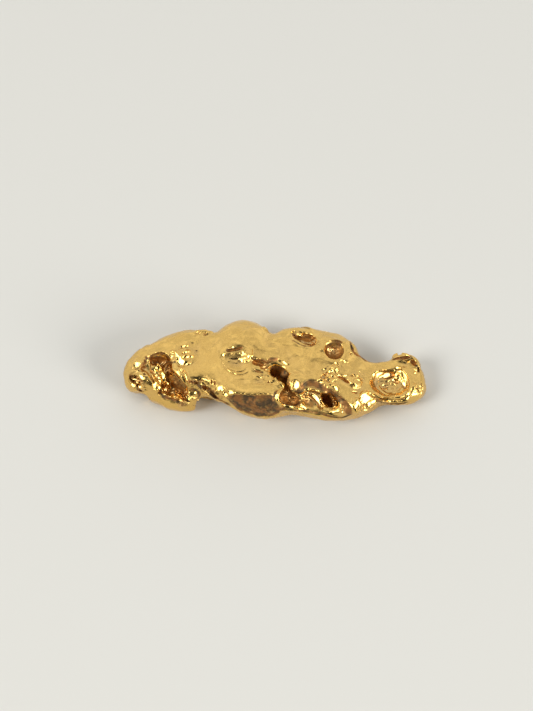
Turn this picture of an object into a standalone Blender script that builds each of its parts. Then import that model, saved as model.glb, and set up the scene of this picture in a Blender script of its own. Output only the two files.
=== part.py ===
"""Gold nugget: one waterworn piece of native gold, 19 mm long, lying on its worn underside.

A flat-topped body is lofted through sections along X. Rounded lumps swell out of its edges, hollows
and slots are carved into it, and raised lips are laid along some of them.
Run with: blender --background --python part.py
"""

import math

import bmesh
import bpy
import numpy as np
from mathutils import Euler, Matrix, Vector

MM = 0.001

# Driving dimensions
LENGTH = 19.0 * MM  # tip to tip along X; everything else follows in proportion
FOOT_DEPTH = 0.12 * MM  # how much of the lowest lumps is worn away flat
SKIN_VOXEL = 0.13 * MM  # cell in which the lumps fuse
FORM_VOXEL = 0.12 * MM  # cell in which the carved form is drawn again
UNDULATION = (1.7 * MM, 0.22 * MM)  # width and height of the gentle waves of the waterworn skin
TRIANGLES = 9400  # what the finished solid is thinned to
GOLD_COLOUR = (0.95, 0.60, 0.17, 1.0)
GOLD_ROUGHNESS = 0.28

# X runs from the head to the tail, -Y is the side with the open hollows, Z is up. All in mm.
# The body's sections: place along X, front edge, back edge, underside, top.
SECTIONS = (
    (-9.15, -0.95, 0.50, 0.60, 2.20),
    (-8.50, -1.35, 1.15, 0.35, 2.70),
    (-7.20, -1.75, 1.70, 0.05, 3.00),
    (-5.95, -1.65, 1.95, 0.00, 3.10),
    (-4.80, -1.65, 2.00, 0.00, 3.10),
    (-3.80, -2.15, 2.20, 0.00, 3.15),
    (-2.75, -2.60, 2.45, 0.00, 3.20),
    (-1.75, -2.90, 2.50, 0.00, 3.25),
    (-0.70, -3.10, 2.35, 0.00, 3.20),
    (0.20, -3.00, 2.15, 0.00, 3.10),
    (1.00, -2.80, 2.30, 0.00, 3.05),
    (2.00, -2.90, 2.30, 0.00, 3.05),
    (3.00, -3.10, 2.15, 0.00, 3.00),
    (4.30, -3.20, 1.75, 0.00, 2.75),
    (5.00, -3.00, 1.25, 0.00, 2.45),
    (6.05, -2.45, 0.65, 0.10, 2.00),
    (6.70, -2.05, 0.70, 0.20, 1.90),
    (7.50, -1.95, 0.80, 0.20, 1.95),
    (8.35, -1.95, 0.90, 0.25, 1.90),
    (9.00, -1.70, 0.70, 0.35, 1.70),
)
SECTION_SQUARENESS = (4.6, 2.8)  # of the upper and the lower half (2 is an ellipse)
SECTION_STEP = 0.2
SECTION_POINTS = 48

# Lumps on the body: centre, radii, turn about Z in degrees, squareness (2 is an ellipsoid).
LUMPS = {
    "head_tip": ((-8.4, -0.3, 1.4), (1.1, 1.05, 1.05), 0, 2.2),
    "shoulder": ((-5.5, 0.9, 1.6), (2.3, 1.65, 1.55), 14, 2.5),
    "hump": ((-1.9, 1.05, 1.75), (2.1, 2.2, 1.8), -4, 2.25),
    "back": ((2.3, 0.9, 1.6), (2.7, 1.8, 1.55), -6, 3.0),
    "back_corner": ((4.2, 0.75, 1.6), (0.95, 1.25, 1.35), -30, 2.8),
    "tail_end": ((8.4, -0.5, 1.0), (1.1, 1.3, 0.8), 8, 2.6),
    "knob": ((8.3, 0.75, 1.4), (0.95, 0.5, 0.6), -12, 2.2),
    "jaw": ((-6.3, -1.6, 0.8), (1.75, 0.65, 0.78), -14, 2.2),
    "jaw_end": ((-5.25, -1.75, 1.3), (0.55, 0.5, 0.85), 10, 2.4),
}

# Hollows carved out: centre, radii and turns about X, Y and Z in degrees.
HOLLOWS = {
    "mouth": ((-6.45, -1.15, 2.2), (1.65, 0.68, 0.95), (0, 36, -28)),
    "mouth_roof": ((-6.95, -0.2, 2.7), (0.75, 0.65, 0.65), (0, 0, -30)),
    "tip_pit": ((-8.5, -1.05, 2.3), (0.45, 0.36, 0.42), (0, 0, -20)),
    "tip_dimple": ((-8.0, -0.45, 2.75), (0.35, 0.3, 0.22), (0, 0, 0)),
    "front_tuck": ((-3.45, -2.2, 0.75), (1.65, 0.8, 1.1), (0, 0, -26)),
    "tuck_tail": ((-1.9, -2.9, 0.35), (1.3, 0.45, 0.5), (0, 6, -18)),
    "button_dish": ((-2.35, -0.15, 3.42), (0.85, 0.85, 0.3), (0, 0, 0)),
    "button_slot": ((-2.75, 0.5, 3.3), (0.55, 0.16, 0.35), (0, 0, 6)),
    "fold_long": ((-0.75, -0.28, 3.15), (0.75, 0.2, 0.3), (0, 0, -4)),
    "fold_short": ((-0.35, -0.62, 3.12), (0.55, 0.16, 0.25), (0, 0, -8)),
    "deep_hole": ((0.38, -0.95, 2.75), (0.7, 0.42, 1.2), (0, 0, -48)),
    "channel": ((0.88, -1.8, 2.85), (0.2, 0.6, 0.45), (0, 0, -4)),
    "scoop": ((0.92, -2.5, 2.6), (0.74, 0.55, 0.6), (-20, 0, 0)),
    "cheek_hollow": ((2.95, -2.8, 2.6), (1.5, 0.72, 0.75), (0, 0, -20)),
    "slot": ((3.45, -2.2, 1.9), (0.6, 0.32, 0.75), (0, 0, -45)),
    "edge_pit": ((1.85, 1.7, 3.15), (0.9, 0.45, 0.55), (0, 0, -26)),
    "edge_step": ((2.35, 1.4, 3.15), (0.5, 0.4, 0.35), (0, 0, -30)),
    "round_pit": ((3.72, 0.7, 3.0), (0.58, 0.64, 0.62), (0, 0, 0)),
    "slit": ((4.4, -1.35, 2.7), (0.42, 0.14, 0.3), (0, 0, -28)),
    "tail_bowl": ((7.2, -1.0, 2.0), (1.2, 0.95, 0.62), (0, 0, 0)),
    "curl_groove": ((7.95, 0.45, 1.95), (0.55, 0.17, 0.3), (0, 0, -14)),
    "curl_slot": ((8.85, 0.2, 1.95), (0.2, 0.42, 0.3), (0, 0, 18)),
    "back_notch": ((-3.9, 2.75, 1.8), (0.35, 0.75, 1.1), (0, 0, -12)),
    "back_cleft": ((-0.05, 2.9, 1.7), (0.4, 0.75, 1.2), (0, 0, 10)),
    "back_pit": ((-6.3, 2.45, 1.5), (0.6, 0.5, 0.45), (0, 0, 16)),
    "back_scoop": ((2.2, 2.75, 1.2), (0.95, 0.45, 0.5), (0, -12, -4)),
    "back_groove": ((-1.7, 3.15, 0.9), (1.7, 0.55, 0.3), (0, 16, -4)),
    "shoulder_groove": ((-6.2, 2.35, 1.0), (1.4, 0.4, 0.25), (0, -10, 14)),
    "corner_groove": ((5.1, 1.5, 1.1), (0.9, 0.4, 0.3), (0, 12, -50)),
    "nose_groove": ((-9.3, -0.3, 1.3), (0.35, 0.9, 0.22), (12, 0, 6)),
    "under_scoop": ((-2.6, -1.3, 0.0), (1.5, 0.8, 0.4), (0, 0, 24)),
    "under_slot": ((2.7, 1.1, 0.0), (1.3, 0.35, 0.5), (0, 0, -18)),
    "under_pit": ((-5.4, 0.6, -0.1), (0.7, 0.6, 0.55), (0, 0, 0)),
    "under_neck": ((6.1, -0.9, 0.0), (1.1, 1.3, 0.45), (0, 0, 0)),
}

# Raised lips laid along some hollows: a radius, then the points the lip passes through.
LIPS = {
    "mouth_ridge": (0.24, ((-6.2, -0.35, 2.85), (-5.45, -0.7, 2.85), (-5.0, -1.15, 2.5),
                           (-4.85, -1.55, 2.1))),
    "mouth_fold": (0.2, ((-7.3, -0.85, 2.2), (-7.0, -1.35, 1.75), (-6.6, -1.7, 1.35), (-6.1, -2.0, 1.1))),
    "mouth_crease": (0.17, ((-6.6, -0.75, 2.0), (-6.2, -1.2, 1.6), (-5.7, -1.75, 1.1))),
    "scoop_rim": (0.13, ((0.2, -2.15, 2.85), (0.1, -2.6, 2.5), (0.35, -2.95, 2.2), (0.95, -3.05, 2.05),
                         (1.5, -2.95, 2.1), (1.75, -2.6, 2.3))),
    "cheek_ledge": (0.17, ((0.5, -3.0, 2.0), (1.9, -2.95, 1.8), (2.85, -3.1, 1.55), (3.9, -3.2, 1.25))),
    "tail_rim": (0.15, ((5.4, -2.2, 1.9), (6.1, -2.15, 1.75), (7.2, -2.0, 1.75), (8.0, -1.9, 1.75),
                        (8.45, -1.5, 1.75), (8.5, -0.9, 1.8))),
    "curl": (0.25, ((7.55, 0.45, 1.75), (7.9, 0.85, 1.9), (8.45, 0.9, 1.9), (8.9, 0.55, 1.8),
                    (9.1, 0.0, 1.6))),
    "pit_lip": (0.12, ((3.1, 1.25, 3.0), (3.7, 1.4, 3.0), (4.3, 1.2, 2.85), (4.55, 0.6, 2.75))),
    "outline_bump": (0.3, ((-5.0, 2.0, 2.75), (-4.45, 2.15, 2.75), (-4.0, 2.15, 2.7))),
    "under_rib": (0.3, ((-1.2, 0.9, 0.15), (0.4, 0.3, 0.1), (1.6, -1.0, 0.15))),
}


def clear_scene():
    for thing in list(bpy.data.objects):
        bpy.data.objects.remove(thing)


def between(rows, place):
    """The section at a place along X, on a smooth (Catmull-Rom) curve through the rows."""
    index = max(0, min(len(rows) - 2, sum(row[0] <= place for row in rows) - 1))
    a, b, c, d = (np.array(rows[max(0, min(len(rows) - 1, index + k))]) for k in (-1, 0, 1, 2))
    t = (place - b[0]) / (c[0] - b[0])
    lean_b = (c - a) / (c[0] - a[0]) * (c[0] - b[0])
    lean_c = (d - b) / (d[0] - b[0]) * (c[0] - b[0])
    return ((2 * t**3 - 3 * t**2 + 1) * b + (t**3 - 2 * t**2 + t) * lean_b
            + (3 * t**2 - 2 * t**3) * c + (t**3 - t**2) * lean_c)


def loft(mesh):
    """Adds the body to a bmesh: rings with flat tops and round sides, closed at both ends."""
    first, last = SECTIONS[0][0], SECTIONS[-1][0]
    steps = round((last - first) / SECTION_STEP)
    rings = []
    for step in range(steps + 1):
        place = first + (last - first) * step / steps
        _, front, back, low, top = between(SECTIONS, place)
        ring = []
        for k in range(SECTION_POINTS):
            angle = 2 * math.pi * k / SECTION_POINTS
            across, up = math.cos(angle), math.sin(angle)
            square = SECTION_SQUARENESS[0] if up > 0 else SECTION_SQUARENESS[1]
            reach = (abs(across) ** square + abs(up) ** square) ** (1 / square)
            y = (front + back) / 2 + (back - front) / 2 * across / reach
            z = (low + top) / 2 + (top - low) / 2 * up / reach
            ring.append(mesh.verts.new(Vector((place, y, z)) * MM))
        rings.append(ring)
    for one, two in zip(rings, rings[1:]):
        for k in range(SECTION_POINTS):
            near = (k + 1) % SECTION_POINTS
            mesh.faces.new((one[k], one[near], two[near], two[k]))
    mesh.faces.new(rings[0][::-1])
    mesh.faces.new(rings[-1])
    bmesh.ops.recalc_face_normals(mesh, faces=mesh.faces)


def ellipsoid(mesh, centre, radii, turns, square=2.0):
    """Adds a closed superellipsoid to a bmesh. Sizes are in mm, turns in degrees."""
    place = Matrix.Translation(Vector(centre) * MM)
    turn = Euler([math.radians(angle) for angle in turns]).to_matrix().to_4x4()
    size = Matrix.Diagonal((*(Vector(radii) * MM), 1.0))
    made = bmesh.ops.create_icosphere(mesh, subdivisions=4, radius=1.0)["verts"]
    for point in made:
        reach = sum(abs(part) ** square for part in point.co) ** (1 / square)
        point.co = point.co / reach
    bmesh.ops.transform(mesh, matrix=place @ turn @ size, verts=made)


def object_from(name, mesh):
    data = bpy.data.meshes.new(name)
    mesh.to_mesh(data)
    mesh.free()
    made = bpy.data.objects.new(name, data)
    bpy.context.scene.collection.objects.link(made)
    return made


def remesh(thing, voxel):
    step = thing.modifiers.new("Remesh", "REMESH")
    step.mode = "VOXEL"
    step.voxel_size = voxel
    return step


def smooth(thing, rounds):
    step = thing.modifiers.new("Smooth", "SMOOTH")
    step.factor = 0.5
    step.iterations = rounds
    return step


def body():
    mesh = bmesh.new()
    loft(mesh)
    for centre, radii, turn, square in LUMPS.values():
        ellipsoid(mesh, centre, radii, (0, 0, turn), square)
    made = object_from("nugget", mesh)
    remesh(made, SKIN_VOXEL)
    smooth(made, 6)
    waves = bpy.data.textures.new("waves", "CLOUDS")
    waves.noise_scale = UNDULATION[0]
    swell = made.modifiers.new("Swell", "DISPLACE")
    swell.texture = waves
    swell.strength = UNDULATION[1]
    swell.mid_level = 0.5
    return made


def carve(nugget):
    mesh = bmesh.new()
    for centre, radii, turns in HOLLOWS.values():
        ellipsoid(mesh, centre, radii, turns)
    cutter = object_from("hollows", mesh)
    cutter.hide_render = True
    cutter.display_type = "WIRE"
    remesh(cutter, SKIN_VOXEL * 0.8)
    cut = nugget.modifiers.new("Hollows", "BOOLEAN")
    cut.operation = "DIFFERENCE"
    cut.object = cutter
    return cutter


def raise_lips(nugget):
    """Round beads along the lips, as curves with a bevel, joined to the carved body."""
    beads = bpy.data.curves.new("lips", "CURVE")
    beads.dimensions = "3D"
    beads.bevel_depth = MM
    beads.bevel_resolution = 3
    beads.resolution_u = 6
    beads.use_fill_caps = True
    for radius, points in LIPS.values():
        spline = beads.splines.new("NURBS")
        spline.points.add(len(points) - 1)
        for point, place in zip(spline.points, points):
            point.co = (*(Vector(place) * MM), 1)
            point.radius = radius
        spline.points[0].radius = spline.points[-1].radius = radius * 0.6
        spline.order_u = min(4, len(points))
        spline.use_endpoint_u = True
    guide = bpy.data.objects.new("lip_guide", beads)
    bpy.context.scene.collection.objects.link(guide)
    solid = evaluated(guide)
    bpy.data.objects.remove(guide)
    lips = bpy.data.objects.new("lips", solid)
    bpy.context.scene.collection.objects.link(lips)
    remesh(lips, MM * 0.06)
    add = nugget.modifiers.new("Lips", "BOOLEAN")
    add.operation = "UNION"
    add.object = lips
    return lips


def evaluated(thing):
    """The mesh of an object as its modifiers leave it."""
    bpy.context.view_layer.update()
    graph = bpy.context.evaluated_depsgraph_get()
    return bpy.data.meshes.new_from_object(thing.evaluated_get(graph))


def apply_modifiers(thing):
    form = evaluated(thing)
    thing.modifiers.clear()
    thing.data = form


def thin(nugget):
    mesh = bmesh.new()
    mesh.from_mesh(nugget.data)
    bmesh.ops.triangulate(mesh, faces=mesh.faces)
    mesh.to_mesh(nugget.data)
    mesh.free()
    step = nugget.modifiers.new("Decimate", "DECIMATE")
    step.ratio = min(1.0, TRIANGLES / len(nugget.data.polygons))
    apply_modifiers(nugget)


def drop_crumbs(mesh):
    """Keeps the largest connected piece: carving can leave crumbs in the hollows."""
    mesh.verts.ensure_lookup_table()
    unseen = set(mesh.verts)
    pieces = []
    while unseen:
        piece = set()
        edge = [unseen.pop()]
        while edge:
            point = edge.pop()
            piece.add(point)
            near = {line.other_vert(point) for line in point.link_edges} & unseen
            unseen -= near
            edge.extend(near)
        pieces.append(piece)
    body = max(pieces, key=len)
    crumbs = [point for point in mesh.verts if point not in body]
    bmesh.ops.delete(mesh, geom=crumbs, context="VERTS")


def wear_foot(mesh):
    """Cuts the lowest lumps off flat, so the nugget rests on a worn foot."""
    low = min(point.co.z for point in mesh.verts)
    everything = mesh.verts[:] + mesh.edges[:] + mesh.faces[:]
    bmesh.ops.bisect_plane(mesh, geom=everything, plane_co=(0, 0, low + FOOT_DEPTH),
                           plane_no=(0, 0, 1), clear_inner=True)
    rim = [line for line in mesh.edges if line.is_boundary]
    bmesh.ops.edgenet_fill(mesh, edges=rim)
    bmesh.ops.triangulate(mesh, faces=mesh.faces)
    bmesh.ops.recalc_face_normals(mesh, faces=mesh.faces)


def settle(mesh):
    """Stands the mesh on z = 0 over the origin and gives it its length."""
    corners = [[pick(point.co[axis] for point in mesh.verts) for axis in range(3)] for pick in (min, max)]
    low, high = Vector(corners[0]), Vector(corners[1])
    middle = Vector(((low.x + high.x) / 2, (low.y + high.y) / 2, low.z))
    bmesh.ops.translate(mesh, verts=mesh.verts, vec=-middle)
    bmesh.ops.scale(mesh, verts=mesh.verts, vec=Vector((1, 1, 1)) * LENGTH / (high.x - low.x))


def finish(nugget, helpers):
    """Redraws the carved form in even cells, thins it, wears the foot flat and sets the size."""
    remesh(nugget, FORM_VOXEL)
    smooth(nugget, 1)
    apply_modifiers(nugget)
    for helper in helpers:
        bpy.data.objects.remove(helper)
    thin(nugget)
    mesh = bmesh.new()
    mesh.from_mesh(nugget.data)
    drop_crumbs(mesh)
    wear_foot(mesh)
    drop_crumbs(mesh)
    settle(mesh)
    mesh.to_mesh(nugget.data)
    mesh.free()


def native_gold():
    material = bpy.data.materials.new("gold")
    material.use_nodes = True
    shader = material.node_tree.nodes["Principled BSDF"]
    shader.inputs["Base Color"].default_value = GOLD_COLOUR
    shader.inputs["Metallic"].default_value = 1.0
    shader.inputs["Roughness"].default_value = GOLD_ROUGHNESS
    return material


clear_scene()
nugget = body()
hollows = carve(nugget)
lips = raise_lips(nugget)
finish(nugget, (hollows, lips))
nugget.data.shade_smooth()
nugget.data.materials.append(native_gold())
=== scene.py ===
import math

import bmesh
import bpy
import numpy as np
import openvdb
from mathutils import Euler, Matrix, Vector


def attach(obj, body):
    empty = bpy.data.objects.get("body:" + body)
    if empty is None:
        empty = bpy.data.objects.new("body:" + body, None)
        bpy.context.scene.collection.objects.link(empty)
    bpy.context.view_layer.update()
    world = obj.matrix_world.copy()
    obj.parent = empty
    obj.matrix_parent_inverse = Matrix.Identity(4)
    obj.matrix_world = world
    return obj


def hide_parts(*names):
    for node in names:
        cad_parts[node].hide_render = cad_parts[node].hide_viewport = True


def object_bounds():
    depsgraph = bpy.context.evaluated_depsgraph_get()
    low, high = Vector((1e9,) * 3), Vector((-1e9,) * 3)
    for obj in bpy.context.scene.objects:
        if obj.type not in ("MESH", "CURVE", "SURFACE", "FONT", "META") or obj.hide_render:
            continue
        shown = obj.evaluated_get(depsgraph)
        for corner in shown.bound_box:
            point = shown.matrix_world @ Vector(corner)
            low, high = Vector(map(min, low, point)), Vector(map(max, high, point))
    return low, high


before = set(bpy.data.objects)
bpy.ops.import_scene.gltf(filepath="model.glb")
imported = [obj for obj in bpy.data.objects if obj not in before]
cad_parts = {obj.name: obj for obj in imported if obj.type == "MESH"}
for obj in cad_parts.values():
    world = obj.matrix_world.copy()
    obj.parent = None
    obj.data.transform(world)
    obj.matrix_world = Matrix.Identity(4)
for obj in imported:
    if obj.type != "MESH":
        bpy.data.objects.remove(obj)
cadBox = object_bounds()
print("frame loaded")

mm = 0.001
farAway = 9.0  # mm, further than any mark reaches

# Places on the skin are given as steps across and down from the top left corner of the camera's
# view. From here to the material all lengths are in mm.
viewValues = {
    "elevation": 60,
    "aim": (-0.454, 1.850, 0.3075),
    "distance": 100,
    "step": 0.06353,  # at the aim
    "middle": (266.5, 355.5),  # in steps
    "lens": 79.7,
    "top": 4.2,  # height where the search for the skin starts
    "deep": 5,  # how far it goes along the view
    "settle": 4,  # rounds that bring a place beside the skin onto it
}
tilt = math.radians(viewValues["elevation"])
toEye = np.array((0, -math.cos(tilt), math.sin(tilt)))
viewUp = np.array((0, math.sin(tilt), math.cos(tilt)))

# The solid becomes a grid of distances to its skin. All marks are worked into the grid, and the
# skin is then drawn again from it as a fine mesh.
formValues = {
    "cell": 0.04,
    "margin": 0.7,  # room around the solid
    "band": 18,  # cells with a true distance on each side of the skin
    "melt": 12,  # rounds that melt the solid's facets
    "reach": 0.5,  # cells this close to the skin are swelled and crumpled
    "markFringe": 0.3,  # room that a mark's soft edge takes past its radii
    "lineFringe": 0.25,
    "foldFringe": 0.2,
    "stainFringe": 0.06,  # how far a mark's stain reaches past its wall
    "stainRise": 1.8,  # how fast stain, crumples and healing come up from the edge of their place
    "crumpleRise": 1.7,
    "healRise": 2.5,
    "knots": 24,  # the random values repeat after this many sizes
    "triangles": 190000,
}


# One round of smoothing
def soften(field):
    for axis in range(3):
        field = (np.roll(field, 1, axis) + 2 * field + np.roll(field, -1, axis)) / 4
    return field


def readForm(values):
    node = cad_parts["nugget"].data
    places = np.zeros(len(node.vertices) * 3, np.float32)
    node.vertices.foreach_get("co", places)
    node.calc_loop_triangles()
    corners = np.zeros(len(node.loop_triangles) * 3, np.int32)
    node.loop_triangles.foreach_get("vertices", corners)
    places = places.reshape(-1, 3) / mm
    cell = values["cell"]
    grid = openvdb.FloatGrid.createLevelSetFromPolygons(
        places, triangles=corners.reshape(-1, 3).astype(np.uint32),
        transform=openvdb.createLinearTransform(voxelSize=cell), halfWidth=float(values["band"]))
    low = np.floor((places.min(0) - values["margin"]) / cell).astype(int)
    high = np.ceil((places.max(0) + values["margin"]) / cell).astype(int)
    depth = np.zeros(high - low + 1, np.float32)
    grid.copyToArray(depth, ijk=tuple(int(n) for n in low))
    for _ in range(values["melt"]):
        depth = soften(depth)
    return {"depth": depth, "stainAndShade": np.zeros_like(depth), "rough": np.zeros_like(depth),
            "low": low, "cell": cell}


# The part of the grid within a box, and where its cells lie
def window(form, low, high):
    size = np.array(form["depth"].shape)
    first = np.clip(np.floor(np.array(low) / form["cell"]).astype(int) - form["low"], 0, size)
    last = np.clip(np.ceil(np.array(high) / form["cell"]).astype(int) - form["low"] + 1, 0, size)
    part = tuple(slice(a, b) for a, b in zip(first, last))
    lines = [(np.arange(a, b) + base) * form["cell"] for a, b, base in zip(first, last, form["low"])]
    return part, np.stack(np.meshgrid(*lines, indexing="ij"), -1).astype(np.float32)


# The cells near the skin, and where they lie
def nearSkin(form, reach):
    near = np.abs(form["depth"]) < reach
    return near, ((np.argwhere(near) + form["low"]) * form["cell"]).astype(np.float32)


# The values of a grid between its cells
def sample(field, low, cell, places):
    spot = np.clip(places / cell - low, 0, np.array(field.shape) - 1.001)  # within the last cell
    base = np.floor(spot).astype(int)
    t = spot - base
    total = np.zeros(len(places))
    for corner in np.ndindex(2, 2, 2):
        weight = np.prod(np.where(corner, t, 1 - t), axis=1)
        total += weight * field[tuple((base + corner).T)]
    return total


def depthAt(form, places):
    return sample(form["depth"], form["low"], form["cell"], places)


# The way out of the gold
def outward(form, places):
    reach = 2 * form["cell"]
    lean = np.stack([depthAt(form, places + reach * axis) - depthAt(form, places - reach * axis)
                     for axis in np.eye(3)], 1)
    return lean / np.maximum(np.linalg.norm(lean, axis=1, keepdims=True), 1e-9)


# Where places of the view, or 3D places beside the skin, lie on the skin as it is now
def onSkin(form, points):
    points = np.array(points, float)
    if points.shape[1] == 3:
        for _ in range(viewValues["settle"]):
            points = points - depthAt(form, points)[:, None] * outward(form, points)
        return points
    aim = np.array(viewValues["aim"])
    eye = aim + toEye * viewValues["distance"]
    shift = (points - viewValues["middle"]) * viewValues["step"]
    target = aim + shift[:, :1] * np.array((1, 0, 0)) - shift[:, 1:] * viewUp
    ray = (target - eye) / np.linalg.norm(target - eye, axis=1, keepdims=True)
    start = eye + ray * ((viewValues["top"] - eye[2]) / ray[:, 2:])
    steps = np.arange(0, viewValues["deep"], form["cell"] / 2)
    track = start[:, None] + steps[:, None] * ray[:, None]  # each ray stops at the first gold
    away = depthAt(form, track.reshape(-1, 3)).reshape(track.shape[:2])
    under = away < 0
    first = np.where(under.any(1), under.argmax(1), away.argmin(1))
    return track[np.arange(len(points)), first]


# Axes that follow the skin: across, up the slope and outward, turned about outward
def skinAxes(form, place, turn):
    out = Vector(outward(form, place[None])[0])
    across = Vector((1, 0, 0)) - out * out[0]
    across.normalize()
    up = out.cross(across)
    angle = math.radians(turn)
    first = across * math.cos(angle) + up * math.sin(angle)
    return np.array((first, out.cross(first), out))


# The cells around a place on the skin, along axes that follow the skin there
def around(form, place, reach, turn, lift=0):
    spot = onSkin(form, [place])[0]
    axes = skinAxes(form, spot, turn)
    centre = spot + axes[2] * lift
    part, cells = window(form, centre - reach, centre + reach)
    return part, (cells - centre) @ axes.T


# The cells around a place on the skin, and their share in it: 1 at the place, 0 at the radii
def shareAround(form, place, radii):
    spot = onSkin(form, [place])[0]
    part, cells = window(form, spot - radii, spot + radii)
    return part, np.clip(1 - np.linalg.norm((cells - spot) / radii, axis=-1), 0, 1)


# A smooth curve through the points, as a chain of short steps
def smoothLine(points, steps=5):
    points = np.array(points, float)
    line = []
    for k in range(len(points) - 1):
        a, b, c, d = (points[min(max(k + step, 0), len(points) - 1)] for step in (-1, 0, 1, 2))
        for t in np.arange(steps) / steps:
            line.append(0.5 * (2 * b + (c - a) * t + (2 * a - 5 * b + 4 * c - d) * t * t
                               + (3 * b - a - 3 * c + d) * t ** 3))
    return np.array(line + [points[-1]])


# The curve through the points laid on the skin and evened out, and the way out of the skin
def lineOnSkin(form, points, rounds):
    line = onSkin(form, smoothLine(points))
    for _ in range(rounds):
        line[1:-1] = (line[:-2] + 2 * line[1:-1] + line[2:]) / 4
    return line, outward(form, line)


# The smaller of two distances, with a soft change from one to the other
def softMin(a, b, blend):
    share = np.clip(0.5 + 0.5 * (b - a) / blend, 0, 1)
    return b + (a - b) * share - blend * share * (1 - share)


# About how far each cell is outside an ellipsoid
def ellipsoid(local, radii):
    near = np.linalg.norm(local / radii, axis=-1)
    slope = np.linalg.norm(local / np.square(radii), axis=-1)
    return near * (near - 1) / np.maximum(slope, 1e-6)


# A shape joined to the gold or cut out of it, with a soft edge and stain along its wall
def sculpt(form, part, raised, shape, blend, stainAndShade=0):
    sign = 1 if raised else -1
    form["depth"][part] = sign * softMin(sign * form["depth"][part], shape, blend)
    if stainAndShade:
        share = stainAndShade * np.clip(1 - shape / formValues["stainFringe"], 0, 1)
        form["stainAndShade"][part] = np.maximum(form["stainAndShade"][part], share)


# Smooth random values with a slope at every knot, one size apart
def cloud(places, seed):
    count = formValues["knots"]
    knots = np.random.default_rng(seed).standard_normal((count, count, count, 3)).astype(np.float32)
    base = np.floor(places).astype(int)
    t = (places - base).astype(np.float32)
    ease = t * t * t * (t * (6 * t - 15) + 10)
    total = np.zeros(places.shape[:-1], np.float32)
    for corner in np.ndindex(2, 2, 2):
        spot = (base + corner) % count
        weight = np.prod(np.where(corner, ease, 1 - ease), axis=-1)
        total += weight * (knots[spot[..., 0], spot[..., 1], spot[..., 2]] * (t - corner)).sum(-1)
    return total


# Broad waves all over: size, height, seed
swellValues = {
    "swell": (1.5, 0.05, 51),
    "ripple": (0.42, 0.02, 53),
}


def swell(form, values):
    near, places = nearSkin(form, formValues["reach"])
    form["depth"][near] -= sum(cloud(places / size, seed) * height for size, height, seed in values.values())


# Where the solid's own marks are smoothed away: place, radii, rounds
healValues = {
    "button": ((232, 351), (1.3, 1.0, 0.9), 150),
}


def heal(form, place, radii, rounds):
    part, share = shareAround(form, place, radii)
    smooth = form["depth"][part]
    for _ in range(rounds):
        smooth = soften(smooth)
    form["depth"][part] += np.clip(formValues["healRise"] * share, 0, 1) * (smooth - form["depth"][part])


# Where the skin is pared back from the solid: place, radii, depth
pareValues = {
    "tip": ((122.5, 376), (0.9, 1.5, 1.5), 0.17),
    "tipLow": ((142.5, 397), (0.7, 0.6, 0.9), 0.27),
    "backEdge": ((330, 332), (1.7, 0.9, 1.0), 0.2),
    "jawLow": ((155.5, 407), (1.0, 0.6, 0.9), 0.22),
}


def pare(form, place, radii, depth):
    part, share = shareAround(form, place, radii)
    form["depth"][part] += depth * share * share * (3 - 2 * share)


# Caves and undercuts that do not follow the skin: centre, radii, softness of the edge, stain,
# turns about X, Y and Z
hollowValues = {
    # the mouth cave's stain is partly painted shade, for a recess too open to the room to go dark
    "mouthCave": ((-7.28, 0.2, 2.6), (0.42, 0.2, 0.42), 0.05, 1.0),
    "deepHole": ((0.44, -0.95, 2.6), (0.68, 0.37, 0.8), 0.05, 1.0, (0, 0, -48)),
    "channel": ((0.88, -1.8, 2.85), (0.15, 0.6, 0.45), 0.05, 0.7, (0, 0, -4)),
    "scoop": ((0.98, -2.45, 2.55), (0.68, 0.5, 0.6), 0.04, 1.0, (-20, 0, 0)),
    "roundPit": ((3.82, 0.72, 3.05), (0.52, 0.6, 0.55), 0.05, 0.8),
    "tailBowl": ((7.3, -0.95, 2.2), (1.25, 0.9, 0.6), 0.3, 0),
}


def carve(form, centre, radii, blend, stainAndShade, turns=(0, 0, 0)):
    spin = np.array(Euler([math.radians(angle) for angle in turns]).to_matrix())
    reach = max(radii) + formValues["markFringe"]
    part, cells = window(form, np.array(centre) - reach, np.array(centre) + reach)
    sculpt(form, part, False, ellipsoid((cells - np.array(centre)) @ spin, radii), blend, stainAndShade)


# Broad dishes, pits and lumps: place, radii across, up the slope and outward, softness of the
# edge, stain, turn, lift off the skin. Here and below a row may leave out its last numbers, and
# the function's own stand in for them.
dishValues = {
    "tip": ((138, 381), (0.75, 0.5, 0.05), 0.14, 0.1, -35),
    "headDimple": ((145, 362.5), (0.28, 0.45, 0.18), 0.12, 0.05, -20),
    "edge": ((212, 390), (1.2, 0.35, 0.16), 0.12, 0.1, -25),
    "pitShelf": ((304.5, 340), (0.85, 0.45, 0.2), 0.2, 0.1, -8),
}

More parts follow.
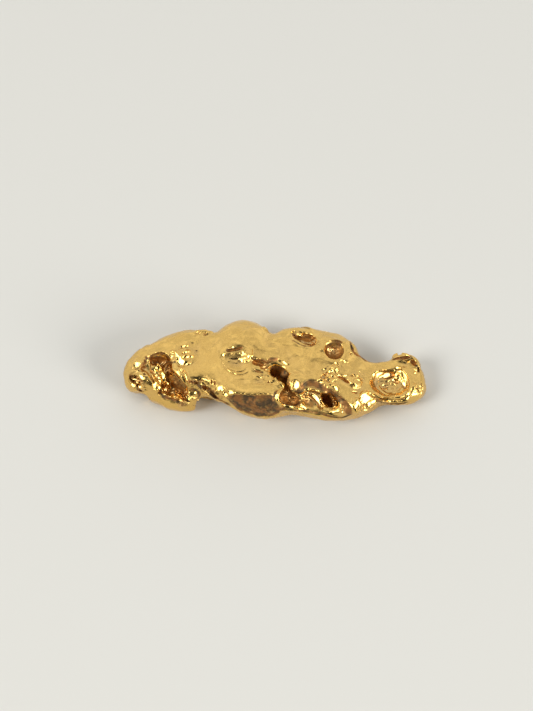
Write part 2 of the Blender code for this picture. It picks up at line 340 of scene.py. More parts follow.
pitValues = {
    "tipHoleA": ((131.5, 378), (0.12, 0.18, 0.12), 0.04, 1.0, 10),
    "tipHoleB": ((141, 381), (0.16, 0.08, 0.08), 0.04, 0.8, -40),
    "tipHoleC": ((137, 387.5), (0.08, 0.2, 0.1), 0.04, 0.8),
    "tipHoleD": ((141, 390.5), (0.12, 0.1, 0.15), 0.03, 0.7),
    "dot": ((144.5, 373.5), (0.1, 0.1, 0.15), 0.03, 0.6),
    "mouthPocket": ((160.5, 393), (0.17, 0.14, 0.25), 0.04, 0.8, 0, -0.05),
    "jawPocket": ((185.5, 399.5), (0.22, 0.13, 0.3), 0.04, 0.9, -30, -0.05),
    "ribPocket": ((167.5, 374.5), (0.13, 0.24, 0.3), 0.04, 0.7, 0, -0.05),
    "edgePatchA": ((194, 382), (0.35, 0.13, 0.18), 0.05, 0.8, -15),
    "edgePatchB": ((205.5, 387.5), (0.22, 0.16, 0.2), 0.05, 0.8, -20),
    "edgePatchC": ((215, 395.5), (0.42, 0.2, 0.22), 0.05, 0.8, -35),
    "edgeHoleA": ((211.5, 382), (0.06, 0.14, 0.2), 0.03, 0.7),
    "edgeHoleB": ((214.7, 383.5), (0.07, 0.16, 0.2), 0.03, 0.7),
    "edgeHoleC": ((220, 384), (0.14, 0.07, 0.2), 0.03, 0.7),
    "foldLeaf": ((258, 363.6), (0.4, 0.13, 0.13), 0.04, 0.55, -12),
    "foldLeafB": ((258.5, 371.5), (0.33, 0.1, 0.09), 0.04, 0.6, -8),
    "foldDot": ((268.5, 382), (0.07, 0.07, 0.12), 0.03, 0.6),
    "slotHole": ((327.3, 399.2), (0.56, 0.21, 0.26), 0.04, 1.0, -48, -0.04),
    "slopeHoleA": ((366, 405.5), (0.25, 0.14, 0.12), 0.05, 0.3),
    "slopeHoleB": ((370, 397), (0.14, 0.07, 0.14), 0.03, 0.6, -30),
    "neckMark": ((355, 392.7), (0.2, 0.06, 0.1), 0.03, 0.4),
    "curlEye": ((413.5, 363), (0.26, 0.13, 0.22), 0.04, 0.5, -45),
    "curlPit": ((418.5, 369.3), (0.1, 0.16, 0.2), 0.03, 0.7),
    "stepDot": ((351, 354), (0.07, 0.08, 0.1), 0.03, 0.6),
}

lumpValues = {
    "tipBead": ((139.9, 387), (0.14, 0.1, 0.1), 0.04),
    "headBoss": ((137.5, 363), (0.38, 0.45, 0.12), 0.14, 0, -20),
    "jawEye": ((195.5, 392.5), (0.2, 0.25, 0.15), 0.05, 0, -20),
    "bulge": ((297, 382), (0.55, 0.6, 0.3), 0.3, 0, 60, -0.05),
    "cheekBead": ((306.5, 394), (0.14, 0.14, 0.12), 0.05),
    "bumpA": ((320.5, 382), (0.2, 0.24, 0.18), 0.05),
    "bumpB": ((335, 368.5), (0.27, 0.24, 0.18), 0.05),
    "bumpC": ((335.5, 388), (0.2, 0.34, 0.18), 0.05, 0, 35),
    "bossTop": ((355.5, 381.5), (0.46, 0.42, 0.18), 0.1),
    "holeLobe": ((285.5, 374), (0.28, 0.42, 0.35), 0.08, 0.2, -40),
    "shoulderLump": ((187.5, 357), (0.62, 0.5, 0.2), 0.15, 0, 0, -0.02),
    "shoulderLip": ((176.5, 354), (0.4, 0.3, 0.13), 0.1, 0, -30),
    "buttonLeft": ((223, 354), (0.22, 0.35, 0.1), 0.15),
    "buttonRight": ((246, 354), (0.42, 0.5, 0.1), 0.22, 0, 30),
    "slopeTop": ((366.5, 397), (0.5, 0.4, 0.2), 0.12, 0, 10),
    "slopeLow": ((357, 405.5), (0.25, 0.5, 0.15), 0.1),
    "slopeEnd": ((371, 404.5), (0.35, 0.25, 0.15), 0.1, 0, 30),
    "outlineA": ((196.8, 331.8), (0.16, 0.13, 0.1), 0.05),
    "outlineB": ((203.3, 334.6), (0.14, 0.16, 0.1), 0.05, 0, -30),
    "outlineC": ((210.5, 332.2), (0.18, 0.14, 0.08), 0.05),
    "foldDash": ((257.3, 358.3), (0.14, 0.07, 0.07), 0.03),
    "foldSpot": ((264.6, 361), (0.06, 0.09, 0.07), 0.03),
    "foldBead": ((257, 376), (0.08, 0.07, 0.05), 0.03),
    "foldBeadB": ((265, 382), (0.07, 0.08, 0.06), 0.03),
    "jawBead": ((188, 403), (0.1, 0.1, 0.1), 0.04),
    "jawBeadB": ((165.3, 389.5), (0.11, 0.11, 0.1), 0.04),
    "dashBead": ((228.5, 361), (0.12, 0.06, 0.05), 0.03, 0, 20),
    "dashBeadB": ((236.5, 363), (0.1, 0.05, 0.04), 0.03),
    "holeLip": ((285.5, 363), (0.36, 0.13, 0.1), 0.06, 0, -18),
    "humpKnob": ((265.5, 329.5), (0.26, 0.16, 0.1), 0.06, 0, -40),
    "wallFill": ((158.5, 378.5), (0.5, 0.95, 0.42), 0.25, 0, 17, -0.04),
    "tipBeadB": ((145.7, 389.6), (0.12, 0.1, 0.1), 0.04),
    "cheekKnobA": ((343, 406.5), (0.18, 0.2, 0.12), 0.06),
    "cheekKnobB": ((342.7, 411.5), (0.15, 0.16, 0.1), 0.06),
    "valleyFill": ((178, 382), (1.0, 0.42, 0.3), 0.2, 0, -42, -0.12),
    "buttonFill": ((234, 351), (0.75, 0.6, 0.3), 0.3, 0, 0, -0.19),
}


def workSpot(form, raised, place, radii, blend, stainAndShade=0, turn=0, lift=0):
    part, local = around(form, place, max(radii) + formValues["markFringe"], turn, lift)
    sculpt(form, part, raised, ellipsoid(local, radii), blend, stainAndShade)


# Crumpled patches: place, radii, fold sizes, height, turn, seed, and whether the creases, where
# the random values change sign, become sharp crests
crumpleValues = {
    "tip": ((138, 382), (0.85, 0.65, 0.5), (0.4, 0.24, 0.3), 0.025, -35, 3, False),
    "mouthWall": ((157, 380), (0.9, 0.6, 0.7), (0.8, 0.25, 0.5), 0.05, -68, 5),
    "mouthRibs": ((171, 366), (0.5, 0.6, 0.6), (0.2, 0.6, 0.4), 0.06, -50, 6),
    "mouthLow": ((184, 396), (0.9, 0.6, 0.6), (0.5, 0.2, 0.4), 0.1, -35, 8),
    "shoulder": ((186, 356), (0.75, 0.6, 0.4), (0.35, 0.16, 0.3), 0.035, 20, 9),
    "outlineBump": ((203, 333), (0.65, 0.32, 0.4), (0.26, 0.2, 0.3), 0.08, 0, 12),
    "frontEdge": ((208, 390), (1.3, 0.55, 0.5), (0.35, 0.2, 0.3), 0.08, -25, 13),
    "bellyStripes": ((246, 400), (1.6, 0.4, 0.5), (0.18, 0.6, 0.4), 0.05, 0, 15, False),
    "belly": ((258, 408), (1.5, 0.6, 0.5), (0.24, 0.2, 0.3), 0.05, 0, 17, False),
    "bumps": ((329, 376.5), (1.0, 0.75, 0.5), (0.5, 0.34, 0.4), 0.15, 40, 19),
    "boss": ((355, 381), (0.6, 0.55, 0.3), (0.5, 0.2, 0.3), 0.06, 20, 21),
    "cheek": ((330, 402), (1.5, 0.7, 0.7), (0.4, 0.2, 0.3), 0.06, -35, 23),
    "slope": ((366, 403), (0.9, 0.7, 0.5), (0.45, 0.3, 0.3), 0.07, 40, 25),
    "tailFloor": ((391, 383), (1.15, 0.85, 0.6), (0.6, 0.34, 0.5), 0.075, 28, 31),
    "tailEnd": ((419, 389), (0.4, 0.8, 0.4), (0.2, 0.3, 0.3), 0.04, 20, 29),
    "foldStripes": ((267, 368), (0.45, 0.42, 0.4), (0.7, 0.13, 0.4), 0.055, -6, 33),
    "foldLow": ((263, 377), (0.8, 0.45, 0.4), (0.4, 0.16, 0.4), 0.035, -8, 35),
    "holeBelow": ((279, 384), (0.45, 0.3, 0.4), (0.35, 0.16, 0.4), 0.04, -10, 37),
    "pitFloor": ((304, 342), (0.8, 0.4, 0.4), (0.6, 0.16, 0.4), 0.05, -8, 39),
    "backRight": ((340, 362), (0.7, 0.5, 0.4), (0.25, 0.2, 0.4), 0.03, 20, 41),
    "neck": ((360, 378), (0.9, 0.7, 0.4), (0.5, 0.25, 0.4), 0.025, 25, 43, False),
    "valley": ((178, 382), (0.95, 0.45, 0.5), (0.9, 0.2, 0.4), 0.07, -52, 45),
    "buttonRight": ((246, 354.5), (0.5, 0.55, 0.4), (0.32, 0.2, 0.3), 0.05, 40, 55),
    "scoopFloor": ((289, 399), (0.6, 0.5, 0.6), (0.3, 0.22, 0.3), 0.05, 0, 47, False),
    "roundFloor": ((334, 351), (0.55, 0.55, 0.6), (0.3, 0.22, 0.3), 0.06, 0, 49, False),
    "bellyTopA": ((239, 394.5), (0.9, 0.3, 0.4), (0.2, 0.16, 0.3), 0.07, 0, 51),
    "bellyTopB": ((263, 395.3), (0.9, 0.3, 0.4), (0.2, 0.16, 0.3), 0.06, 0, 53),
}
crumpleShape = {
    "finer": 2.1,  # how much smaller the second folds are
    "finerShare": 0.45,
    "contrast": 1.6,
    "level": 0.75,
}


def crumple(form, place, radii, sizes, height, turn, seed, sharp=True):
    part, local = around(form, place, max(radii), turn)
    share = np.clip(formValues["crumpleRise"] * (1 - np.linalg.norm(local / radii, axis=-1)), 0, 1)
    near = (share > 0) & (np.abs(form["depth"][part]) < formValues["reach"])
    broad = np.abs(cloud(local[near] / sizes, seed))
    fine = np.abs(cloud(local[near] / sizes * crumpleShape["finer"], seed + 1))
    fold = (broad + crumpleShape["finerShare"] * fine) * crumpleShape["contrast"] - crumpleShape["level"]
    form["depth"][part][near] -= height * share[near] * (-fold if sharp else fold)
    form["rough"][part] = np.maximum(form["rough"][part], share)


# Grooves: radius, how much taller than wide, stain, how many radii the middle is lifted off the
# skin, and the points of the line
grooveValues = {
    # the cheek band's stain is partly stain and partly painted reflection of the dark front of the room
    "cheekBand": (0.36, 1, 0.75, 0.72, ((298, 393), (303, 387.5), (308, 384), (313, 383.8), (319, 386.5),
        (324, 390))),
    "edgeArc": (0.05, 1, 0.5, ((199.5, 382), (201.5, 380.3), (203.5, 381.5))),
    "bumpArcA": (0.05, 1, 0.6, ((196.5, 333.3), (198.5, 332), (200.5, 331))),
    "bumpArcB": (0.05, 1, 0.6, ((202.5, 333.5), (205, 335.3), (208.5, 333.5))),
    "buttonRing": (0.04, ((221.5, 359), (223, 364), (227, 370), (234, 374), (242, 375), (249, 372))),
    "buttonRingB": (0.035, ((226, 364), (229, 368.5), (236, 371.5), (243, 371.5), (247, 368))),
    "buttonDash": (0.04, 1, 0.3, ((229.5, 358.8), (234, 360), (239, 359))),
    "foldStripeA": (0.04, 1, 0.2, ((263, 367), (268, 367.3), (272, 369))),
    "foldStripeB": (0.04, 1, 0.2, ((263, 370), (268, 370.3), (272, 372))),
    "roundTop": (0.06, 1.4, 0.6, ((329.5, 341.3), (334, 340.4), (339, 341.2), (343, 342.7))),
    "slit": (0.08, 1.8, 0.8, ((338, 376.5), (343, 378.7), (348.5, 382.5))),
    "ringB": (0.04, 1, 0.1, ((340, 368), (339.5, 373), (344, 376.5), (349, 375))),
    "stepLine": (0.07, 1.4, 0.7, ((350.5, 343), (352.5, 350), (356, 354.3), (360.5, 356.5), (366, 361.5))),
    "tailUnder": (0.08, 1.6, 0.8, ((378, 400.5), (385, 402.3), (392, 403), (399, 403.3), (405, 402.7))),
    "curlSlot": (0.09, 2.0, 0.9, ((392.5, 360), (395.5, 358.3), (401, 358), (406, 357.5), (411, 357))),
    "curlLine": (0.05, 1.2, 0.4, ((402, 359), (405, 360.5), (409, 362.5))),
    "endLine": (0.05, 1.2, 0.6, ((416, 387), (418, 390), (419.5, 393))),
    "endLineB": (0.05, 1.2, 0.6, ((421, 382), (422, 386), (422.5, 390))),
    # this second cheek band's stain is also partly painted reflection of the dark front of the room
    "cheekBandB": (0.36, 1, 0.75, 0.72, ((322, 390.5), (330, 391.5), (337, 396.5), (342, 402), (346, 408),
        (348, 413))),
    "buttonSlot": (0.075, 1.3, 1.0, ((226.7, 350.8), (231, 350.4), (236, 349.3), (242.5, 347.7))),
}

# Ridges, in the same order
ridgeValues = {
    "plateauEdge": (0.6, 1, 0, -0.75, ((216, 384), (224, 389), (236, 391), (250, 391.5), (264, 391.5),
        (276, 392))),
    "tipCurl": (0.08, ((141, 389.5), (144, 387.5), (148, 389))),
    "wallD": (0.07, 1.2, ((153.5, 375.3), (156, 375), (158.5, 374.5))),
    "caveFloor": (0.16, 1.2, ((152, 360.5), (155, 363.5), (158, 367.5), (160.5, 370))),
    "lowA": (0.08, 1.2, ((165, 393.5), (170, 391.7), (176, 393))),
    "lowB": (0.11, 1.2, ((164.5, 396.5), (171, 396.7), (177.5, 397.5), (182, 402), (186, 405.5))),
    "lowC": (0.11, 1.2, ((185.3, 392.5), (187.7, 396), (189.3, 400))),
    "shoulderA": (0.09, 1, 0, 0.3, ((171, 351.7), (175, 352), (178, 356), (180, 360))),
    "shoulderB": (0.09, 1, 0, 0.3, ((183, 358.5), (188, 356.3), (193.5, 356))),
    "shoulderC": (0.07, 1, 0, 0.3, ((184, 365), (187, 364), (190.5, 362.3))),
    "shoulderD": (0.07, 1, 0, 0.3, ((181.5, 347.8), (184.5, 346), (188, 345.3))),
    "shoulderE": (0.06, 1, 0, 0.3, ((183, 354), (187, 352), (190.5, 351.3))),
    "edgeA": (0.08, 1.2, ((223.5, 386), (225.5, 388.5), (228, 390.5))),
    "edgeB": (0.09, 1.2, ((222.5, 391), (225.5, 395), (228.5, 398.5))),
    "edgeC": (0.07, 1.2, ((218.5, 399.7), (222.5, 397.3))),
    "bellyMark": (0.06, 1.2, ((254, 397), (251.5, 401), (254, 404.3))),
    "buttonLeft": (0.07, ((225.7, 350), (224.5, 353.5), (222.7, 356.5))),
    "buttonRight": (0.08, ((242.5, 351), (244.5, 354.5), (248.5, 358.5))),
    "holeSpur": (0.09, 1.2, 0, 0.3, ((271.7, 382.8), (274, 380.5), (277, 378))),
    "bandLip": (0.06, 1.2, ((305, 391.3), (312, 389), (318, 391), (323, 392))),
    "cheekA": (0.08, ((321, 405.5), (322.5, 410.5))),
    "cheekB": (0.09, ((342.3, 404), (343, 409.5), (343, 413.5))),
    "cheekEdge": (0.06, ((319, 411), (327, 413.5), (335, 415.5), (342, 415))),
    "pitSlab": (0.1, 1, 0, 0.2, ((291.5, 331.3), (296, 333), (301.5, 334.7))),
    "pitBead": (0.08, ((321.7, 350), (323.5, 352))),
    "pitBeadB": (0.07, ((344.5, 341), (344.3, 344))),
    "pitBeadC": (0.08, ((345, 362.5), (347.5, 361))),
    "slitLip": (0.05, ((337.5, 371.5), (338.5, 375))),
    "bossArc": (0.1, 1, 0, 0.2, ((350, 377.3), (354, 375.3), (359, 376.7))),
    "slopeA": (0.1, 1.2, ((354.5, 402), (356.5, 408), (361, 412))),
    "slopeB": (0.1, 1.2, ((361, 401), (364, 395), (369, 393))),
    "slopeC": (0.08, 1.2, ((363, 410.5), (368, 409), (373, 405))),
    "tailRim": (0.12, 1.1, 0, 0.3, ((369, 393.5), (376, 396.3), (382, 399.5), (390, 400.5), (400, 400.5),
        (406, 399), (410.5, 395.5))),
    "tailTick": (0.1, 1.2, 0, 0.3, ((411.5, 391.5), (413.3, 388), (415.5, 384.3))),
    "tailLip": (0.08, 1.1, ((372.3, 377), (374.3, 372), (379, 370), (385, 370.5))),
    "tailCrest": (0.07, 1.1, ((394.3, 366.3), (397.5, 367.7), (401, 369))),
    "curlLip": (0.08, 1.2, ((392.5, 357), (396, 354.7), (402, 354), (409, 355.7), (415, 360.5))),
    "endBead": (0.08, ((415, 369.7), (417.3, 369.3))),
    "endBeadB": (0.07, ((413.7, 372.7), (416, 372.5))),
    "bossLow": (0.05, ((349, 383), (352, 386.5), (357.5, 387.5))),
    "bossMid": (0.05, ((353, 380), (356.5, 379), (360, 381))),
    "bossInner": (0.045, ((351, 379.5), (353, 383), (357, 384.5))),
    "streakA": (0.16, 1.2, 0, 0.25, ((150.7, 373.5), (152.7, 378.5), (155.2, 383.5), (155.2, 389.5))),
    "streakB": (0.16, 1.2, 0, 0.25, ((160.3, 371.5), (162.3, 376.5), (163.5, 381.5))),
    "streakC": (0.11, 1.2, 0, 0.3, ((165, 381.3), (167.2, 384), (169, 387.7))),
    "rimRight": (0.1, 1.2, 0, 0.2, ((182, 373.3), (185, 375), (187, 378.7), (187.8, 382))),
    "jawLoop": (0.04, ((150.7, 391.5), (150.7, 396), (153.3, 399.3), (156, 396.3), (156.3, 391))),
    "scoopRim": (0.12, 1.2, 0, 0.5, ((282, 389), (278.3, 392.3), (276.3, 397), (277.8, 402),
        (281.5, 405.5), (288, 407.2), (296, 408), (304, 408.8))),
    "slotLeft": (0.12, 1.2, 0, 0.2, ((310.5, 393.7), (315, 397), (319, 401.5), (323.5, 404.7))),
    "slotRim": (0.05, 1.2, 0, 0.3, ((309, 388.7), (314, 388.9), (319, 391.2), (326, 391.8), (331.5, 395.5),
        (335.5, 400.7), (336.5, 405.3), (333, 408), (328, 408))),
    "leafTop": (0.06, 1.2, 0, 0.2, ((290.5, 388.5), (294, 391.7), (298.5, 395.7), (303, 398.3),
        (309, 400.3))),
}


def workLine(form, raised, points, radius, tall=1, stainAndShade=0, lift=0):
    line, outs = lineOnSkin(form, points, 2)
    line = line + outs * radius * lift
    reach = radius * max(tall, 1) + formValues["lineFringe"]
    part, cells = window(form, line.min(0) - reach, line.max(0) + reach)
    share = np.linspace(0, 1, len(line))
    width = radius * (0.4 + 0.6 * np.clip(np.sin(np.pi * share) * 2, 0, 1))  # thin at both ends
    shape = np.full(cells.shape[:-1], farAway, np.float32)
    for k in range(len(line) - 1):
        step = line[k + 1] - line[k]
        out = outs[k] + outs[k + 1]
        out = out / np.linalg.norm(out)
        offset = cells - line[k]
        along = np.clip(offset @ step / max(step @ step, 1e-9), 0, 1)
        offset = offset - along[..., None] * step
        high = offset @ out
        away = np.sqrt(np.maximum((offset ** 2).sum(-1) - high ** 2 * (1 - 1 / tall ** 2), 0))
        shape = np.minimum(shape, away - width[k] - along * (width[k + 1] - width[k]))
    sculpt(form, part, raised, shape, 0.4 * radius, stainAndShade)


# Folds: height, width of the raised side, stain at the foot, points. The skin on the left of
# the line is raised and falls off sharply at the line.
foldValues = {
    "mouthArch": (0.13, 0.5, 0.8, ((149.5, 357), (153, 354.5), (158, 352.8), (163, 352.3), (168, 355),
        (171, 359))),
    "mouthBrow": (0.1, 0.16, 0.9, ((151.5, 359.5), (155, 357), (160, 356), (165, 357.5), (168.5, 361))),
    "mouthRight": (0.14, 0.6, 0.4, ((171, 358), (176, 362.5), (180, 368.5), (184, 374), (188, 382),
        (193, 389), (198.5, 393))),
    "mouthLeft": (0.06, 0.4, 0.4, ((157, 391), (152.5, 381), (150, 370), (150.5, 360))),
    "wallA": (0.1, 0.2, ((156.5, 390), (156.5, 384), (154, 378), (151.5, 373))),
    "wallB": (0.1, 0.2, ((165, 381.5), (163.5, 376), (161, 371.5))),
    "wallC": (0.1, 0.2, 0.3, ((170, 391), (170, 386), (167.5, 382.5), (165, 380))),
    "ribA": (0.11, 0.25, 1.0, ((161, 368), (165.5, 363.5), (171, 361.8), (176, 361.5))),
    "ribB": (0.09, 0.25, 0.8, ((164.5, 376), (167.5, 371), (172, 369))),
    "jawLip": (0.16, 0.5, 1.0, ((188, 408), (181, 403.6), (175, 400.2), (168, 398.8), (163, 396.5),
        (159, 391.5))),
    "jawLedge": (0.08, 0.25, ((176, 394.5), (170, 392.8), (164, 392.5))),
    "tipArc": (0.05, 0.3, 0.6, ((129, 378), (130, 374.5), (133, 372), (138, 371), (143, 371))),
    "tipInner": (0.05, 0.2, 0.5, ((144, 385), (141.5, 381.5), (138.5, 379.3), (135.5, 378))),
    "tipLow": (0.06, 0.2, 0.6, ((143.5, 391.5), (139, 390), (136.5, 387), (136.7, 383.7))),
    "dimple": (0.08, 0.5, 0.6, ((134, 368.6), (138, 368), (142, 366), (147.5, 367))),
    "dimpleRight": (0.05, 0.4, 0.4, ((142, 366), (144.5, 361), (147, 357.5))),
    "jawEye": (0.08, 0.2, 0.8, ((192, 400), (197, 397.5), (198.7, 393), (195, 390), (190, 391.5))),
    "edgeStepA": (0.1, 0.5, 0.9, ((187.5, 383), (190.5, 380.5), (196, 381.5), (200, 384.5), (204, 385.5),
        (209, 387), (213, 391))),
    "edgeStepB": (0.1, 0.4, 0.9, ((211, 390), (214.5, 391.5), (217.5, 394.5), (220.5, 398))),
    "edgeFaint": (0.03, 0.3, ((188, 377.5), (193, 377), (198, 378.5))),
    "edgeLow": (0.08, 0.3, 0.8, ((230, 405), (224, 401.7), (219, 399.3), (213, 397), (209, 392))),
    "edgeTick": (0.05, 0.2, 0.5, ((215, 392.5), (217.5, 391), (220.5, 391.3))),
    "bellyTop": (0.07, 0.6, 0.5, ((228, 396), (232, 394.3), (240, 394), (248, 395), (257, 395.3),
        (266, 395), (276, 395.5))),
    "bellyRim": (0.06, 0.3, 0.4, ((283, 410), (276, 415.3), (268, 416.6), (256, 415.6), (244, 412),
        (233, 406))),
    "bandOuter": (0.07, 0.4, 0.5, ((299, 392), (301.5, 386), (306, 381.7), (312, 380), (319, 381))),
    "bandRight": (0.09, 0.4, 0.5, ((328, 388.5), (334, 391.5), (341, 397), (347, 402.5), (352.5, 410))),
    "slotRim": (0.1, 0.14, 0.8, ((308.5, 389.5), (314, 389.7), (319, 392.3), (326, 393), (330.5, 396.7),
        (334.3, 401.5), (335, 405.3), (331.5, 407.3))),
    "leafEdge": (0.09, 0.3, 0.9, ((320, 412.5), (318.7, 406.5), (315.5, 401.3), (310.5, 397),
        (305, 395.5))),
    "scoopRight": (0.08, 0.3, 0.6, ((291.5, 391), (296, 394.3), (300, 398.5), (301, 402.5), (297.5, 406))),
    "underScoop": (0.08, 0.3, 0.9, ((316, 412.8), (306, 411.3), (296, 410.2), (287, 409.3), (280, 408))),
    "underCheek": (0.06, 0.3, 0.9, ((352, 413), (343, 417.2), (335, 417), (327, 415), (320, 413))),
    "foldMain": (0.09, 0.5, 0.9, ((250, 359), (256, 359.3), (262, 359.7), (266, 362), (272, 361.3),
        (279, 359))),
    "foldSlot": (0.09, 0.3, 1.0, ((267.5, 360.8), (271, 358.4), (276, 359), (280, 358.3))),
    "foldLeafLow": (0.07, 0.2, 0.4, ((266, 366), (261, 365.5), (256, 363.5), (252, 361.5))),
    "foldUnder": (0.06, 0.2, 0.7, ((265, 373), (258, 372), (253, 370), (251, 366.5))),
    "holeEdge": (0.07, 0.3, ((283, 384.5), (278, 381.5), (274.5, 377), (270, 373), (268, 369))),
    "humpEdge": (0.028, 0.8, ((252, 329), (262, 336), (270, 341), (284, 345), (300, 346))),
    "humpLow": (0.018, 0.7, ((249, 341), (258, 349), (268, 352), (276, 355))),
    "neckLine": (0.02, 0.6, ((343, 371), (352, 370), (362, 370), (370, 374))),
    "flatLine": (0.015, 0.5, ((224, 381), (236, 380), (250, 379), (262, 382))),
    "pitWrinkle": (0.02, 0.5, ((300, 356), (310, 353), (320, 353))),
    "valleyA": (0.07, 0.2, 0.3, ((171, 371), (175, 377), (180, 383.5), (187, 390))),
    "valleyB": (0.06, 0.2, 0.3, ((168, 377), (172, 384), (178, 390.5), (184, 394))),
    "valleyC": (0.06, 0.2, 0.3, ((176, 366), (180, 373), (184, 382), (190, 389))),
    "tailTop": (0.09, 0.3, 0.4, ((374.5, 381), (374, 376), (376.5, 372.5), (382, 370.3), (389, 370),
        (395, 368.7))),
    "tailRight": (0.1, 0.4, 0.3, ((396, 367.5), (402, 370), (407, 375.5), (409.5, 382), (409, 389),
        (404.5, 396))),
    "tailInner": (0.07, 0.25, 0.3, ((394, 371), (399, 374), (402.5, 379.5), (402.5, 386), (399, 391))),
    "tailArc": (0.06, 0.3, 0.2, ((377, 380), (377.5, 386), (382, 392), (390, 395.5), (399, 395))),
    "tailMid": (0.07, 0.25, 0.3, ((385, 383), (391, 380.7), (395, 384), (396, 390))),
    "tailShelf": (0.08, 0.25, 0.3, ((378, 378.5), (384, 378), (390, 376), (396, 375.5))),
    "tailRim": (0.09, 0.35, 0.8, ((407, 402), (399, 403.5), (391, 403.5), (383, 402), (375, 398.5),
        (368, 394))),
    "pitOuter": (0.09, 0.35, 0.8, ((320, 339), (317.5, 344), (311, 347.2), (302, 346), (294.5, 342.3),
        (290, 337.5))),
    "pitInner": (0.16, 0.35, 1.0, ((290.5, 332), (295, 335.3), (301, 337.7), (306, 338.6), (311, 339))),
    "pitStep": (0.07, 0.2, 0.8, ((311.5, 337.5), (307, 337.3), (303, 336.3))),
    "pitRight": (0.05, 0.2, 0.5, ((321, 343), (317.5, 346.5), (313.5, 348.7))),
    "roundTop": (0.06, 0.25, 0.9, ((329.5, 341.5), (335, 340.3), (340, 341.5), (344, 343.3))),
    "pitUp": (0.08, 0.25, 0.8, ((309.5, 342), (312.5, 339.8), (315, 337))),
    "foldStripeA": (0.05, 0.15, 0.5, ((273, 365), (268, 364.6), (262, 366.5), (255, 366))),
    "foldStripeB": (0.05, 0.15, 0.5, ((271.5, 369.5), (267, 368.7), (262, 369.7), (256, 369))),
    "foldStripeC": (0.04, 0.15, 0.4, ((271, 375), (266, 375.3), (261, 376.5), (256, 375.3))),
    "foldStripeD": (0.035, 0.2, 0.3, ((275, 385), (268, 385.5), (260, 384.5), (252, 385))),
}
foldShape = {
    "reach": 0.45,  # cells this close to the skin are worked
    "drop": 0.07,  # how wide the fall at the line is
    "footStain": 0.09,
    "footStart": 0.03,
}


def workFold(form, points, height, width, stainAndShade=0):
    line, outs = lineOnSkin(form, points, 1)
    fringe = formValues["foldFringe"]
    part, cells = window(form, line.min(0) - width - fringe, line.max(0) + width + fringe)
    near = np.abs(form["depth"][part]) < foldShape["reach"]
    cells = cells[near]
    # for each cell: how near the line is, how far left of it the cell lies, and where along it
    closest = np.full(len(cells), farAway, np.float32)
    side = np.zeros(len(cells), np.float32)
    place = np.zeros(len(cells), np.float32)
    for k in range(len(line) - 1):
        step = line[k + 1] - line[k]
        left = np.cross(outs[k] + outs[k + 1], step)
        offset = cells - line[k]
        along = np.clip(offset @ step / max(step @ step, 1e-9), 0, 1)
        offset = offset - along[:, None] * step
        away = (offset ** 2).sum(-1)
        nearer = away < closest
        closest[nearer] = away[nearer]
        side[nearer] = (offset[nearer] @ left) / np.linalg.norm(left)
        place[nearer] = (k + along[nearer]) / (len(line) - 1)
    fade = np.clip(np.sin(np.pi * place) * 1.8, 0, 1) * np.clip(1.4 - np.sqrt(closest) / width, 0, 1)
    rise = np.clip(side / foldShape["drop"] + 0.5, 0, 1) * np.clip(1 - side / width, 0, 1) ** 2
    form["depth"][part][near] -= height * fade * rise
    if stainAndShade:
        foot = np.clip(1.3 - np.abs(side + foldShape["footStart"]) / foldShape["footStain"], 0, 1)
        form["stainAndShade"][part][near] = np.maximum(form["stainAndShade"][part][near], stainAndShade * fade * foot)


